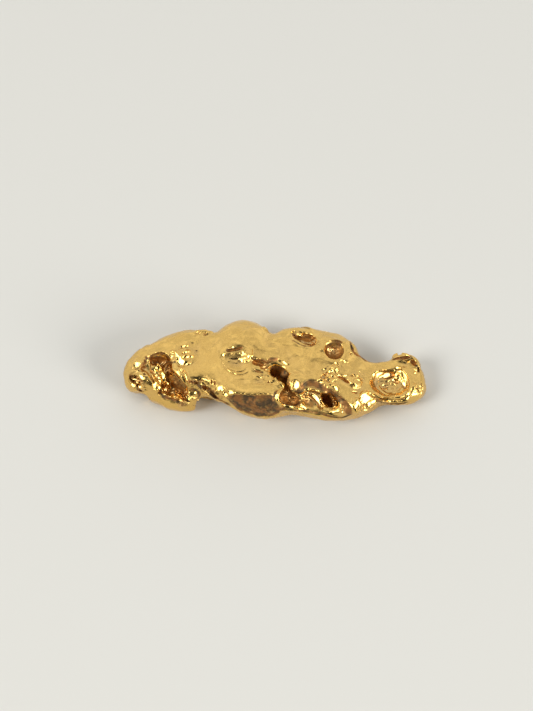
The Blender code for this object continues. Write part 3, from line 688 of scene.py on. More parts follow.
# Facets, cut shallow so that the skin faces one way: place, way, half sizes along and across,
# depth, turn
facetValues = {
    "shoulder": ((182, 360.5), "left", (0.36, 0.42), 0.07, -20),
    "shoulderB": ((189, 356.8), "left", (0.4, 0.13), 0.05, 12),
    "bulge": ((296.5, 385), "left", (0.4, 0.3), 0.1, 70),
    "caveFloor": ((155.8, 365.5), "right", (0.46, 0.18), 0.08, -49),
    "slotLeft": ((317.5, 400), "right", (0.62, 0.22), 0.1, -55),
    "cheekTop": ((335.5, 388.5), "left", (0.3, 0.16), 0.08, -50),
    "cheekLow": ((342.5, 406.5), "right", (0.25, 0.14), 0.08, 90),
    "slope": ((366, 397.5), "right", (0.5, 0.4), 0.14, 10),
    "slopeLow": ((357, 406), "right", (0.42, 0.18), 0.12, 75),
    "slopeEnd": ((370, 404), "right", (0.35, 0.2), 0.1, 35),
    "tailA": ((386.5, 375.5), "right", (0.45, 0.22), 0.1, 10),
    "tailB": ((374.3, 375), "right", (0.32, 0.14), 0.07, -70),
    "tailC": ((393.5, 380), "right", (0.3, 0.13), 0.07, -40),
    "buttonLeft": ((224, 354.3), "left", (0.3, 0.16), 0.04, 60),
    "buttonRight": ((244, 353), "left", (0.3, 0.16), 0.05, -60),
    "edge": ((226, 395), "left", (0.3, 0.15), 0.08, -60),
    "edgeLow": ((221, 399), "left", (0.2, 0.12), 0.06, 30),
    "tick": ((413.5, 388), "left", (0.36, 0.13), 0.06, 60),
    "holeLip": ((284.5, 363), "left", (0.4, 0.14), 0.05, -18),
    "rimRight": ((185.5, 377), "left", (0.35, 0.13), 0.08, -70),
    "bellyA": ((241, 399.5), "front", (0.75, 0.33), 0.08, -8),
    "bellyB": ((262, 400), "front", (0.95, 0.36), 0.08),
    "wallA": ((155.3, 382.5), "right", (0.6, 0.2), 0.09, -76),
    "wallB": ((163, 377), "right", (0.42, 0.18), 0.08, -74),
    "wallC": ((168, 384.5), "right", (0.28, 0.14), 0.06, -59),
    "wallD": ((153, 371), "right", (0.18, 0.1), 0.05, -70),
    "wallE": ((165, 389.7), "right", (0.12, 0.12), 0.05, -60),
    "jawA": ((180, 400.3), "left", (0.4, 0.1), 0.05, -40),
    "jawB": ((187.5, 396), "right", (0.3, 0.1), 0.05, -65),
    "head": ((137.7, 363.3), "left", (0.26, 0.42), 0.05, -25),
    "shoulderC": ((175.5, 354), "left", (0.4, 0.18), 0.05, -35),
    "tailD": ((398, 371.5), "left", (0.25, 0.12), 0.06, -20),
    "tailE": ((404, 385), "left", (0.25, 0.14), 0.06, -70),
    "tailF": ((381, 377), "right", (0.25, 0.12), 0.06, 20),
    "slopeFar": ((374, 401.7), "right", (0.28, 0.16), 0.07, 35),
    "holeSpur": ((273.5, 381), "left", (0.25, 0.1), 0.05, 50),
    "foldDash": ((257, 358.5), "left", (0.16, 0.08), 0.04),
    "scoopRimA": ((276.5, 397), "left", (0.4, 0.1), 0.05, 90),
    "pitSlab": ((296.5, 333), "left", (0.32, 0.11), 0.05, -16),
    "pitBead": ((322.7, 351.3), "left", (0.16, 0.12), 0.05),
    "backBead": ((345.5, 362), "right", (0.16, 0.14), 0.05),
    "shoulderD": ((187.5, 363.5), "left", (0.3, 0.11), 0.04, 22),
    "shoulderE": ((187, 352.3), "left", (0.3, 0.1), 0.04, 18),
    "shoulderF": ((184.7, 346.5), "left", (0.3, 0.11), 0.04, 15),
    "wallF": ((157.5, 375.3), "right", (0.16, 0.07), 0.04),
    "wallG": ((159.5, 387.7), "right", (0.14, 0.14), 0.05),
    "jawC": ((195, 392.7), "left", (0.16, 0.18), 0.05),
    "jawD": ((172, 392.7), "left", (0.3, 0.08), 0.04, -10),
    "rimA": ((374.5, 396), "left", (0.4, 0.1), 0.05, -30),
    "rimB": ((407, 398.5), "left", (0.26, 0.12), 0.05, 35),
    "rimC": ((394, 399.7), "left", (0.85, 0.1), 0.05, -4),
    "crest": ((397.3, 367.7), "left", (0.26, 0.09), 0.05, -25),
    "shoulderG": ((197.3, 351), "left", (0.12, 0.1), 0.03),
    "shoulderH": ((193, 343.5), "left", (0.12, 0.08), 0.03),
    "bumpA": ((333.5, 367.8), "left", (0.2, 0.1), 0.04, 10),
    "bumpB": ((325.7, 372.3), "left", (0.12, 0.12), 0.04),
    "bumpC": ((330, 371.7), "right", (0.13, 0.12), 0.04),
    "bumpD": ((320.3, 382.3), "left", (0.14, 0.16), 0.04),
    "bumpE": ((329, 380.7), "left", (0.12, 0.1), 0.04),
    "boss": ((354.5, 375.5), "left", (0.26, 0.08), 0.04),
    "buttonLow": ((246, 358.7), "left", (0.26, 0.1), 0.04),
    "tipBead": ((139.9, 387), "left", (0.13, 0.09), 0.03),
    "tipBeadB": ((145.7, 389.5), "left", (0.11, 0.09), 0.03),
    "buttonRightB": ((248.3, 357), "left", (0.26, 0.12), 0.05, -30),
    "cheekKnobA": ((343, 406.5), "left", (0.16, 0.14), 0.04),
    "cheekKnobB": ((342.7, 411.5), "left", (0.14, 0.12), 0.04),
    "caveEdge": ((153, 362.3), "right", (0.2, 0.12), 0.06, -49),
}
facetSides = {  # toward either light, or toward the dark front
    "left": (-0.35, -0.45, 0.82),
    "right": (0.44, -0.55, 0.71),
    "front": (0, -0.72, 0.69),
}
facetShape = {
    "crown": 5,  # how little a facet bulges
    "edge": 0.04,
    "corner": 0.1,
    "smooth": 0.05,  # depth below which it has lost its crumples
}


def cutFacet(form, place, side, sizes, depth, turn=0):
    out = Vector(facetSides[side]).normalized()
    spot = onSkin(form, [place])[0]
    angle = math.radians(turn)
    first = Vector((math.cos(angle), math.sin(angle), 0))
    first = (first - out * first.dot(out)).normalized()
    axes = np.array((first, out.cross(first), out))
    fringe = formValues["markFringe"]
    part, cells = window(form, spot - max(sizes) - fringe, spot + max(sizes) + fringe)
    local = (cells - spot) @ axes.T
    above = local[..., 2] + depth - (local[..., 0] ** 2 + local[..., 1] ** 2) / facetShape["crown"]
    within = (1 - np.linalg.norm(local[..., :2] / sizes, axis=-1)) * min(sizes)
    cut = softMin(above, within, facetShape["corner"])
    form["rough"][part] *= np.clip(-cut / facetShape["smooth"], 0, 1)
    sculpt(form, part, False, -cut, facetShape["edge"])


# Crumples, folds and pits at random on the sides that are turned away from the view
scatterValues = {
    "seed": 7,
    "turned": -0.25,  # how far away from the view a side is turned
    "apart": 0.45,
    "tries": 4000,
    "crumples": 18,
    "crumpleHeight": 0.09,
    "crumpleSizes": (0.5, 0.26, 0.4),
    "folds": 50,
    "foldHeight": (0.05, 0.08),  # of the smallest, and what size adds
    "foldWidth": (0.25, 0.35),
    "foldStride": (0.2, 0.3),
    "pits": 36,
    "pitRadii": (0.3, 0.2, 0.2),
    "pitEdge": 0.06,
}


def grown(pair, size):
    return pair[0] + pair[1] * size


def scatter(form, values):
    draw = np.random.default_rng(values["seed"])
    spots = (np.argwhere(np.abs(form["depth"]) < form["cell"]) + form["low"]) * form["cell"]
    spots = spots[draw.permutation(len(spots))[:values["tries"]]]
    outs = outward(form, spots)
    facing = outs @ toEye
    kinds = ["crumple"] * values["crumples"] + ["fold"] * values["folds"] + ["pit"] * values["pits"]
    taken = []
    for spot, out, face in zip(spots, outs, facing):
        if len(taken) == len(kinds):
            break
        if face >= values["turned"] or any(np.linalg.norm(spot - other) < values["apart"] for other in taken):
            continue
        kind = kinds[len(taken)]
        taken.append(spot)
        size = draw.uniform(0.4, 1) ** 1.5
        bold = min(1, 0.35 + (values["turned"] - face) / 0.3)  # weaker toward the outline
        if kind == "crumple":
            turn = draw.uniform(-40, 40)
            height = values["crumpleHeight"] * bold * draw.uniform(0.6, 1)
            sharp = bool(draw.integers(2))
            crumple(form, spot, (0.5 + size, 0.4 + 0.6 * size, 0.6), values["crumpleSizes"], height,
                    turn, int(draw.integers(100, 900)), sharp)
        elif kind == "fold":
            heading = np.cross(out, draw.standard_normal(3) + (0, 0, 1.5))
            line = [spot]
            for _ in range(4):
                heading = heading / np.linalg.norm(heading) + draw.standard_normal(3) * 0.3
                stride = heading / np.linalg.norm(heading) * grown(values["foldStride"], size)
                line.append(onSkin(form, [line[-1] + stride])[0])
            workFold(form, line, bold * grown(values["foldHeight"], size),
                     grown(values["foldWidth"], size), draw.uniform(0, 0.9))
        else:
            turn = draw.uniform(-90, 90)
            radii = [radius * size for radius in values["pitRadii"]]
            workSpot(form, False, spot, radii, values["pitEdge"], draw.uniform(0.3, 1), turn)


# Brown patches: place, radii, turn, strength
brownPatchValues = {
    # the belly rows paint its front wall brown and dark: partly stain, partly painted shade and painted
    # reflection of the dark front
    "belly": ((256, 406), (1.9, 0.75, 0.8), -8),
    "bellyBand": ((244, 399.5), (1.6, 0.42, 0.5)),
    "mouthValley": ((178, 385), (1.0, 0.5, 0.8), -50, 0.8),
    # the cave: partly stain, partly painted shade
    "cave": ((159, 360), (0.5, 0.25, 0.6)),
    # the round pit: partly stain, partly painted shade
    "roundPit": ((334, 351), (0.7, 0.7, 0.6), 0, 0.4),
    "tip": ((138, 382), (0.6, 0.4, 0.4), -35, 0.3),
    # more belly rows: partly stain, partly painted shade
    "bellyLow": ((258, 410.5), (1.5, 0.55, 0.8), -4),
    "bellyLeft": ((239, 404), (0.8, 0.5, 0.7), -22),
    "bellyRight": ((273, 408), (0.75, 0.75, 0.8), 20),
    "bellyEnd": ((282, 408.5), (0.5, 0.2, 0.5), -5, 0.8),
    "tipRight": ((142, 383), (0.4, 0.4, 0.4), -35, 0.4),
    # another belly row: partly stain, partly painted shade
    "bellyBandRight": ((268, 400), (0.7, 0.42, 0.5)),
    "valleyDark": ((173.5, 385), (0.4, 0.2, 0.4), -58),
    "valleyTop": ((168, 373.5), (0.25, 0.14, 0.4), -58),
    "valleyLow": ((190, 389), (0.3, 0.14, 0.4), -30, 0.9),
    "leaf": ((308.5, 404), (0.6, 0.42, 0.5), -40, 0.5),
}


def brownPatch(form, place, radii, turn=0, strength=1.0):
    part, local = around(form, place, max(radii), turn)
    share = np.clip(formValues["stainRise"] * (1 - np.linalg.norm(local / radii, axis=-1)), 0, 1)
    form["stainAndShade"][part] = np.maximum(form["stainAndShade"][part], strength * share)


# Brown lines: radius, strength, points. A negative strength wipes an edge clean.
brownLineValues = {
    # the cheek band line paints the band dark: partly stain, partly painted reflection of the dark front of
    # the room
    "cheekBand": (0.32, ((299, 392), (303, 386.5), (308, 383.5), (313, 383.5), (319, 386.5), (326, 390),
        (333, 393.5), (340, 399), (345, 405), (349, 412))),
    "leafEdge": (0.1, ((305, 394.5), (311, 397.3), (316, 401.5), (319, 407), (320, 412))),
    "scoopRight": (0.08, 0.9, ((301, 399), (301.5, 402.5), (298.5, 406))),
    "underScoop": (0.12, ((276, 411), (284, 409.3), (296, 410), (308, 411.3), (318, 413))),
    "underCheek": (0.11, ((320, 413), (327, 415.3), (335, 417.3), (343, 417.3), (352, 414))),
    "edgeA": (0.16, ((189, 381), (193, 382.3), (197, 384), (201, 387.5))),
    "edgeB": (0.22, ((203, 387), (207, 387.7), (211, 389.5))),
    "edgeC": (0.22, ((212.5, 391.5), (214.5, 395), (218, 397.7))),
    "edgeD": (0.1, ((219, 399.5), (224, 401.7), (230, 405))),
    "stepLine": (0.12, ((350.5, 342.5), (352, 348), (354.3, 353), (358, 356), (362, 357.5), (367, 361.5))),
    "tailUnder": (0.08, 0.9, ((378, 400.8), (385, 402.8), (392, 403.3), (400, 403.3), (406, 402))),
    "buttonTop": (0.2, ((228, 350.6), (231.5, 350.3), (236, 349.4), (241, 348.3))),
    "foldTop": (0.1, ((254, 359.5), (262, 360), (266, 361.5), (272, 361.5), (278, 359))),
    "jawCrease": (0.15, ((158.6, 392), (163, 395.3), (168, 397.7), (174, 400), (180.5, 403), (185.5, 405))),
    "mouthArch": (0.11, ((150.5, 356), (155, 354), (160, 353.2), (166, 354), (169, 357.5))),
    "ribA": (0.12, ((162, 367.5), (165.5, 364), (170, 362.5), (176, 362))),
    "ribB": (0.14, ((165.5, 375.5), (168, 372), (171, 370.5))),
    "mouthLeft": (0.09, 0.8, ((152, 372), (150.5, 366), (151.5, 360.5))),
    "tipA": (0.12, ((132.5, 375.8), (130.3, 377.5), (130.3, 380), (132, 381.7))),
    "tipB": (0.05, 0.7, ((129.5, 375.5), (131.7, 372.8), (137, 371.4), (142, 371.2))),
    "tipC": (0.11, ((136.7, 378), (139, 379), (141, 380.5), (143.6, 383), (144, 385))),
    "tipD": (0.08, ((136.7, 383.7), (136.5, 387), (138.6, 390))),
    "tipE": (0.07, ((139.5, 390.3), (142, 391.3), (144, 391.3))),
    "dimple": (0.2, 0.9, ((146.5, 358), (145, 362), (142.5, 365.5))),
    "dimpleLow": (0.09, 0.9, ((135.5, 368), (140, 367), (147, 367.5))),
    "pitInner": (0.18, ((293.5, 335), (298, 337.7), (303, 339.7), (309, 340.7))),
    "pitOuter": (0.08, 0.9, ((293, 340.5), (299, 344), (305, 346.3), (312, 346.3))),
    "roundTop": (0.07, 0.9, ((330, 341), (336, 340.3), (343, 342.3))),
    # the round pit's lower and upper rings: partly stain, partly painted shade on its dark upper wall
    "roundLow": (0.12, 0.8, ((327, 353), (331, 357), (337, 357.5), (341, 354))),
    "roundUp": (0.14, 0.9, ((327.5, 346.5), (330.5, 344.3), (334, 343.5))),
    "curlSlot": (0.12, ((393.5, 359.5), (396.5, 358.7), (400, 358.3))),
    "curlLine": (0.07, 0.8, ((400, 358), (406, 357.3), (412, 357))),
    "curlEye": (0.14, ((411.5, 361), (414, 363.5), (416.5, 366))),
    "curlHole": (0.1, ((419, 368), (419.2, 372))),
    "tailCrest": (0.1, 0.9, ((395.5, 370), (399.5, 370.3))),
    "tailTop": (0.06, 0.7, ((377, 373), (381, 372), (384, 372.5))),
    "tailCurve": (0.05, 0.5, ((391, 382.5), (393, 388), (398, 391.3), (403, 392.5))),
    "tailRight": (0.08, 0.5, ((409, 381), (409.7, 387.5), (405, 395.5))),
    "slit": (0.08, ((338, 377), (343, 379), (348.5, 382.8))),
    "holeTop": (0.1, ((272, 367.5), (277, 366.7), (283, 368.5), (287.5, 372.5))),
    "outlineA": (0.07, 0.9, ((197.5, 333), (199.5, 332.3))),
    "outlineB": (0.08, 0.9, ((203.5, 332.8), (206, 335), (208.5, 334.3))),
    "foldLow": (0.1, 0.9, ((254, 370.3), (258, 371.5), (263, 372.8))),
    "foldLeaf": (0.09, 0.9, ((253, 361.5), (256, 363.3), (261, 365.7))),
    "jawEye": (0.08, 0.9, ((191, 391.5), (195, 390.3), (198, 393), (196, 397), (192.5, 401))),
    "jawPocket": (0.12, ((183.5, 398.8), (187.5, 400.5))),
    "jawEnd": (0.08, ((187.5, 405.5), (189.5, 406.5))),
    "jawEndB": (0.08, ((192, 405), (194, 405.5))),
    # the belly lines paint a dark band and a brown wall along its front: partly stain, partly painted
    # reflection of the dark front
    "bellyTop": (0.26, ((231, 397.7), (238, 396.5), (248, 397), (258, 397.7), (268, 397.5), (275, 398.5))),
    "bellyLow": (0.26, ((231, 401), (236, 405.7), (243, 410), (252, 413.2), (262, 415), (271, 414.7),
        (278, 411.5))),
    "humpKnob": (0.07, 0.9, ((263, 327.5), (266, 330.5), (269.5, 333))),
    "pitUp": (0.1, ((309.5, 341.5), (312.5, 339.5), (315, 337))),
    "scoopAround": (0.13, ((276.5, 391), (274.3, 396), (274.5, 401), (278, 406.3), (284, 408.8))),
    "scoopRim": (0.11, -1.0, ((283, 388), (278.5, 392), (276.5, 397), (277.8, 402), (281.5, 405.3),
        (288, 407), (296, 407.8), (304, 408.6))),
    "leafTop": (0.06, -1.0, ((290.5, 388), (294, 391.5), (298.5, 395.5), (303, 398))),
    "slotRim": (0.055, -1.0, ((309, 389), (314, 389.3), (319, 391.7), (326, 392.3), (331.5, 396),
        (335.5, 401), (336.3, 405.3), (333, 408), (328, 408))),
    "slotAround": (0.14, ((312, 391), (319, 393.5), (326, 394), (331, 398))),
    "tailUnderB": (0.1, ((376, 400), (383, 402.5), (391, 403.5), (400, 403.5), (407, 402))),
    "tailRim": (0.08, -1.0, ((368, 393.5), (376, 396), (382, 399.5), (390, 400.3), (400, 400.3),
        (406, 398.8), (410, 395.5))),
    "pitArcA": (0.07, 0.9, ((296, 342), (301, 344.5), (307, 346.3), (313, 345.5), (317, 341))),
    # the cave line: partly stain, partly painted shade
    "cave": (0.2, ((153.5, 359.5), (158, 359.5), (163.5, 359.8))),
    "caveLow": (0.07, -1.0, ((151.5, 361.5), (155, 365), (160, 369.3))),
    "mouthCorner": (0.13, ((193, 388.5), (197, 390.5), (199.3, 394), (198, 397.5))),
    "foldBlob": (0.14, ((268, 360.5), (272, 359), (277, 359.5))),
    # the round pit's ring: partly stain, partly painted shade
    "roundRing": (0.12, ((327, 352), (326.5, 347.5), (330, 343.5), (335, 342.7), (340, 345))),
    "neckNotch": (0.07, 0.8, ((366, 361.5), (371, 363), (377, 363), (383, 361.5))),
}


def brownLine(form, points, radius, strength=1.0):
    line = onSkin(form, smoothLine(points, 8))
    part, cells = window(form, line.min(0) - radius, line.max(0) + radius)
    away = np.full(cells.shape[:-1], farAway, np.float32)
    for spot in line:
        away = np.minimum(away, ((cells - spot) ** 2).sum(-1))
    share = abs(strength) * np.clip(formValues["stainRise"] * (1 - np.sqrt(away) / radius), 0, 1)
    if strength > 0:
        form["stainAndShade"][part] = np.maximum(form["stainAndShade"][part], share)
    else:
        form["stainAndShade"][part] -= share * (form["stainAndShade"][part] + 0.4)


# Small dents all over, deeper where the skin is crumpled
dentValues = {
    "reach": 0.2,
    "size": 0.17,
    "height": 0.006,
    "crumpledHeight": 0.025,
    "seed": 61,
}


def roughen(form, values):
    near, places = nearSkin(form, values["reach"])
    height = values["height"] + form["rough"][near] * values["crumpledHeight"]
    form["depth"][near] -= height * cloud(places / values["size"], values["seed"])


# The foot stays flat on the floor, and nothing stands past the solid's box
def keepInBox(form):
    for axis, (low, high) in enumerate(zip(*cadBox)):
        line = (np.arange(form["depth"].shape[axis]) + form["low"][axis]) * form["cell"]
        past = np.maximum(low / mm - line, line - high / mm).astype(np.float32)
        form["depth"] = np.maximum(form["depth"], past.reshape([-1 if a == axis else 1 for a in range(3)]))


def drawSkin(form):
    grid = openvdb.FloatGrid()
    grid.gridClass = openvdb.GridClass.LEVEL_SET
    grid.transform = openvdb.createLinearTransform(voxelSize=form["cell"])
    grid.copyFromArray(form["depth"], ijk=tuple(int(n) for n in form["low"]))
    return grid.convertToQuads()


def meshOf(places, faces):
    mesh = bpy.data.meshes.new("goldSkin")
    mesh.vertices.add(len(places))
    mesh.vertices.foreach_set("co", (places * mm).astype(np.float32).ravel())
    mesh.loops.add(faces.size)
    mesh.loops.foreach_set("vertex_index", faces.astype(np.int32).ravel())
    mesh.polygons.add(len(faces))
    mesh.polygons.foreach_set("loop_start", np.arange(0, faces.size, 4, dtype=np.int32))
    mesh.update(calc_edges=True)
    mesh.validate()
    return mesh


def thin(mesh, triangles):
    thing = bpy.data.objects.new("goldNugget", mesh)
    bpy.context.scene.collection.objects.link(thing)
    less = thing.modifiers.new("thin", "DECIMATE")
    less.ratio = min(1, triangles / (2 * len(mesh.polygons)))
    settled = thing.evaluated_get(bpy.context.evaluated_depsgraph_get())
    thing.data = bpy.data.meshes.new_from_object(settled)
    thing.modifiers.remove(less)
    bpy.data.meshes.remove(mesh)
    thing.data.name = "goldSkin"
    return thing


# What the material reads at each point of the skin: how hollow the place is, from the share of
# gold around it, which also paints shade into the gold, and the stain with the painted shade and
# reflection worked in with it, and the crumples worked into the grid
layerValues = {
    "coarse": 3,  # cells of the grid to one of the share of gold
    "crease": 1,  # rounds of smoothing
    "hollow": 13,
}


def addLayers(form, mesh, values):
    inside = (form["depth"] < 0).astype(np.float32)
    for axis in range(3):
        inside = (np.roll(inside, 1, axis) + inside + np.roll(inside, -1, axis)) / 3
    coarse = values["coarse"]
    inside = inside[::coarse, ::coarse, ::coarse]
    places = np.zeros(len(mesh.vertices) * 3, np.float32)
    mesh.vertices.foreach_get("co", places)
    places = places.reshape(-1, 3) / mm
    for name in ("crease", "hollow"):
        for _ in range(values[name]):
            inside = soften(inside)
        addLayer(mesh, name, sample(inside, form["low"] / coarse, form["cell"] * coarse, places))
    addLayer(mesh, "stainAndShade", sample(soften(form["stainAndShade"]), form["low"], form["cell"], places))
    addLayer(mesh, "worked", sample(form["rough"], form["low"], form["cell"], places))


def addLayer(mesh, name, values):
    layer = mesh.attributes.new(name, "FLOAT", "POINT")
    layer.data.foreach_set("value", values.astype(np.float32))


def buildNugget():
    form = readForm(formValues)
    print("solid read into", form["depth"].shape, "cells")
    swell(form, swellValues)
    for row in healValues.values():
        heal(form, *row)
    for row in pareValues.values():
        pare(form, *row)
    for row in hollowValues.values():
        carve(form, *row)
    for row in dishValues.values():
        workSpot(form, False, *row)
    for row in crumpleValues.values():
        crumple(form, *row)
    print("hollows and crumples worked")
    for row in pitValues.values():
        workSpot(form, False, *row)
    for row in lumpValues.values():
        workSpot(form, True, *row)
    for *sizes, points in grooveValues.values():
        workLine(form, False, points, *sizes)
    for *sizes, points in ridgeValues.values():
        workLine(form, True, points, *sizes)
    for *sizes, points in foldValues.values():
        workFold(form, points, *sizes)
    for row in facetValues.values():
        cutFacet(form, *row)
    print("pits, lumps, lines and facets worked")
    scatter(form, scatterValues)
    print("hidden sides worked")
    for row in brownPatchValues.values():
        brownPatch(form, *row)
    for *sizes, points in brownLineValues.values():
        brownLine(form, points, *sizes)
    roughen(form, dentValues)
    keepInBox(form)
    places, faces = drawSkin(form)
    nugget = thin(meshOf(places, faces[:, ::-1]), formValues["triangles"])
    nugget.data.shade_smooth()
    addLayers(form, nugget.data, layerValues)
    print("skin drawn with", len(faces), "faces and thinned to", len(nugget.data.polygons))
    return nugget


# Sizes and heights in mm
goldValues = {
    "colour": (0.82, 0.53, 0.155, 1),
    # painted shade: the gold turns toward this darker colour in its hollows
    "hollowShadeColour": (0.58, 0.37, 0.15, 1),
    "dullerColour": (0.66, 0.40, 0.10, 1),
    "duller": 0.3,
    "deep": (0.47, 0.66),  # hollowness where a place starts to be deep, and is deep
    # brown and grey of stains, also used for the painted shade and painted reflection worked into the stain
    # mask
    "stainColour": (0.33, 0.15, 0.045, 1),
    "greyStain": (0.095, 0.062, 0.031, 1),
    "deepStain": (0.40, 0.165, 0.028, 1),
    "patchSize": 0.45,  # grey patches in the stain
    "dirtSize": 0.3,
    "roughness": 0.17,
    "grainRoughness": 0.12,
    "dirtRoughness": 0.35,
    "dirtMetallic": -0.2,  # what full dirt adds
    "grainSize": 0.11,
    "grainHeight": 0.006,
    "wrinkleSize": 0.5,
    "wrinkleHeight": 0.009,
    "foldSize": 0.24,
    "foldHeight": 0.012,
}


def newGroup(name, inputs, outputs):
    group = bpy.data.node_groups.new(name, "ShaderNodeTree")
    for label, kind, value in inputs:
        socket = group.interface.new_socket(label, in_out="INPUT", socket_type=kind)
        if value is not None:
            socket.default_value = value
    for label, kind in outputs:
        group.interface.new_socket(label, in_out="OUTPUT", socket_type=kind)
    return group, group.nodes.new("NodeGroupInput").outputs, group.nodes.new("NodeGroupOutput").inputs


def feed(tree, socket, part):
    if isinstance(part, (int, float, tuple)):
        socket.default_value = part
    else:
        tree.links.new(part, socket)


def mathNode(tree, operation, *parts):
    node = tree.nodes.new("ShaderNodeMath")
    node.operation = operation
    for socket, part in zip(node.inputs, parts):
        feed(tree, socket, part)
    return node.outputs[0]


def noiseNode(tree, vector, scale, detail, rough):
    node = tree.nodes.new("ShaderNodeTexNoise")
    for label, part in (("Vector", vector), ("Scale", scale), ("Detail", detail), ("Roughness", rough)):
        feed(tree, node.inputs[label], part)
    return node.outputs["Fac"]


def ramp(tree, value, low, high):
    node = tree.nodes.new("ShaderNodeMapRange")
    node.interpolation_type = "SMOOTHSTEP"
    for label, part in (("Value", value), ("From Min", low), ("From Max", high)):
        feed(tree, node.inputs[label], part)
    return node.outputs["Result"]


def mixColour(tree, share, first, second):
    node = tree.nodes.new("ShaderNodeMix")
    node.data_type = "RGBA"
    feed(tree, node.inputs["Factor"], share)
    for label, part in (("A", first), ("B", second)):
        feed(tree, next(s for s in node.inputs if s.name == label and s.type == "RGBA"), part)
    return next(s for s in node.outputs if s.type == "RGBA")


def layerNode(tree, name):
    node = tree.nodes.new("ShaderNodeAttribute")
    node.attribute_name = name
    return node.outputs["Fac"]


def useGroup(tree, group, **parts):
    node = tree.nodes.new("ShaderNodeGroup")
    node.node_tree = group
    for label, part in parts.items():
        feed(tree, node.inputs[label], part)
    return node.outputs


# Fine mottling of a worn metal skin: a height and a mask, from a grain size in metres
def wornGrain():
    group, given, result = newGroup(
        "wornGrain", (("Vector", "NodeSocketVector", None), ("Size", "NodeSocketFloat", 0.001)),
        (("Height", "NodeSocketFloat"), ("Mask", "NodeSocketFloat")))
    scale = mathNode(group, "DIVIDE", 1, given["Size"])
    fine = noiseNode(group, given["Vector"], scale, 3, 0.6)
    broad = noiseNode(group, given["Vector"], mathNode(group, "MULTIPLY", scale, 0.22), 3, 0.55)
    height = mathNode(group, "ADD", fine, mathNode(group, "MULTIPLY", broad, 1.5))
    group.links.new(height, result["Height"])
    group.links.new(ramp(group, broad, 0.35, 0.65), result["Mask"])
    return group


# Small sharp wrinkles: the creases lie where the noise passes its middle
def softWrinkles():
    group, given, result = newGroup(
        "softWrinkles", (("Vector", "NodeSocketVector", None), ("Size", "NodeSocketFloat", 0.001)),
        (("Height", "NodeSocketFloat"),))
    noise = noiseNode(group, given["Vector"], mathNode(group, "DIVIDE", 1, given["Size"]), 2, 0.5)
    fold = mathNode(group, "ABSOLUTE", mathNode(group, "SUBTRACT", noise, 0.5))
    height = mathNode(group, "POWER", mathNode(group, "MULTIPLY", fold, 4), 0.85)
    group.links.new(height, result["Height"])
    return group


# Where dirt and painted shade sit: the share worked into the grid, widened into hollows and broken up by
# noise
def settledDirtAndShade():
    group, given, result = newGroup(
        "settledDirtAndShade",
        (("Vector", "NodeSocketVector", None), ("Painted", "NodeSocketFloat", 0.0),
         ("Hollow", "NodeSocketFloat", 0.5), ("Size", "NodeSocketFloat", 0.001)),
        (("Mask", "NodeSocketFloat"),))
    noise = noiseNode(group, given["Vector"], mathNode(group, "DIVIDE", 1, given["Size"]), 5, 0.65)
    sunk = ramp(group, given["Hollow"], 0.52, 0.78)
    total = mathNode(group, "ADD", given["Painted"], mathNode(group, "MULTIPLY", sunk, 0.45))
    speckle = mathNode(group, "MULTIPLY", mathNode(group, "SUBTRACT", noise, 0.5), 1.8)
    group.links.new(ramp(group, mathNode(group, "ADD", total, speckle), 0.2, 1.0), result["Mask"])
    return group


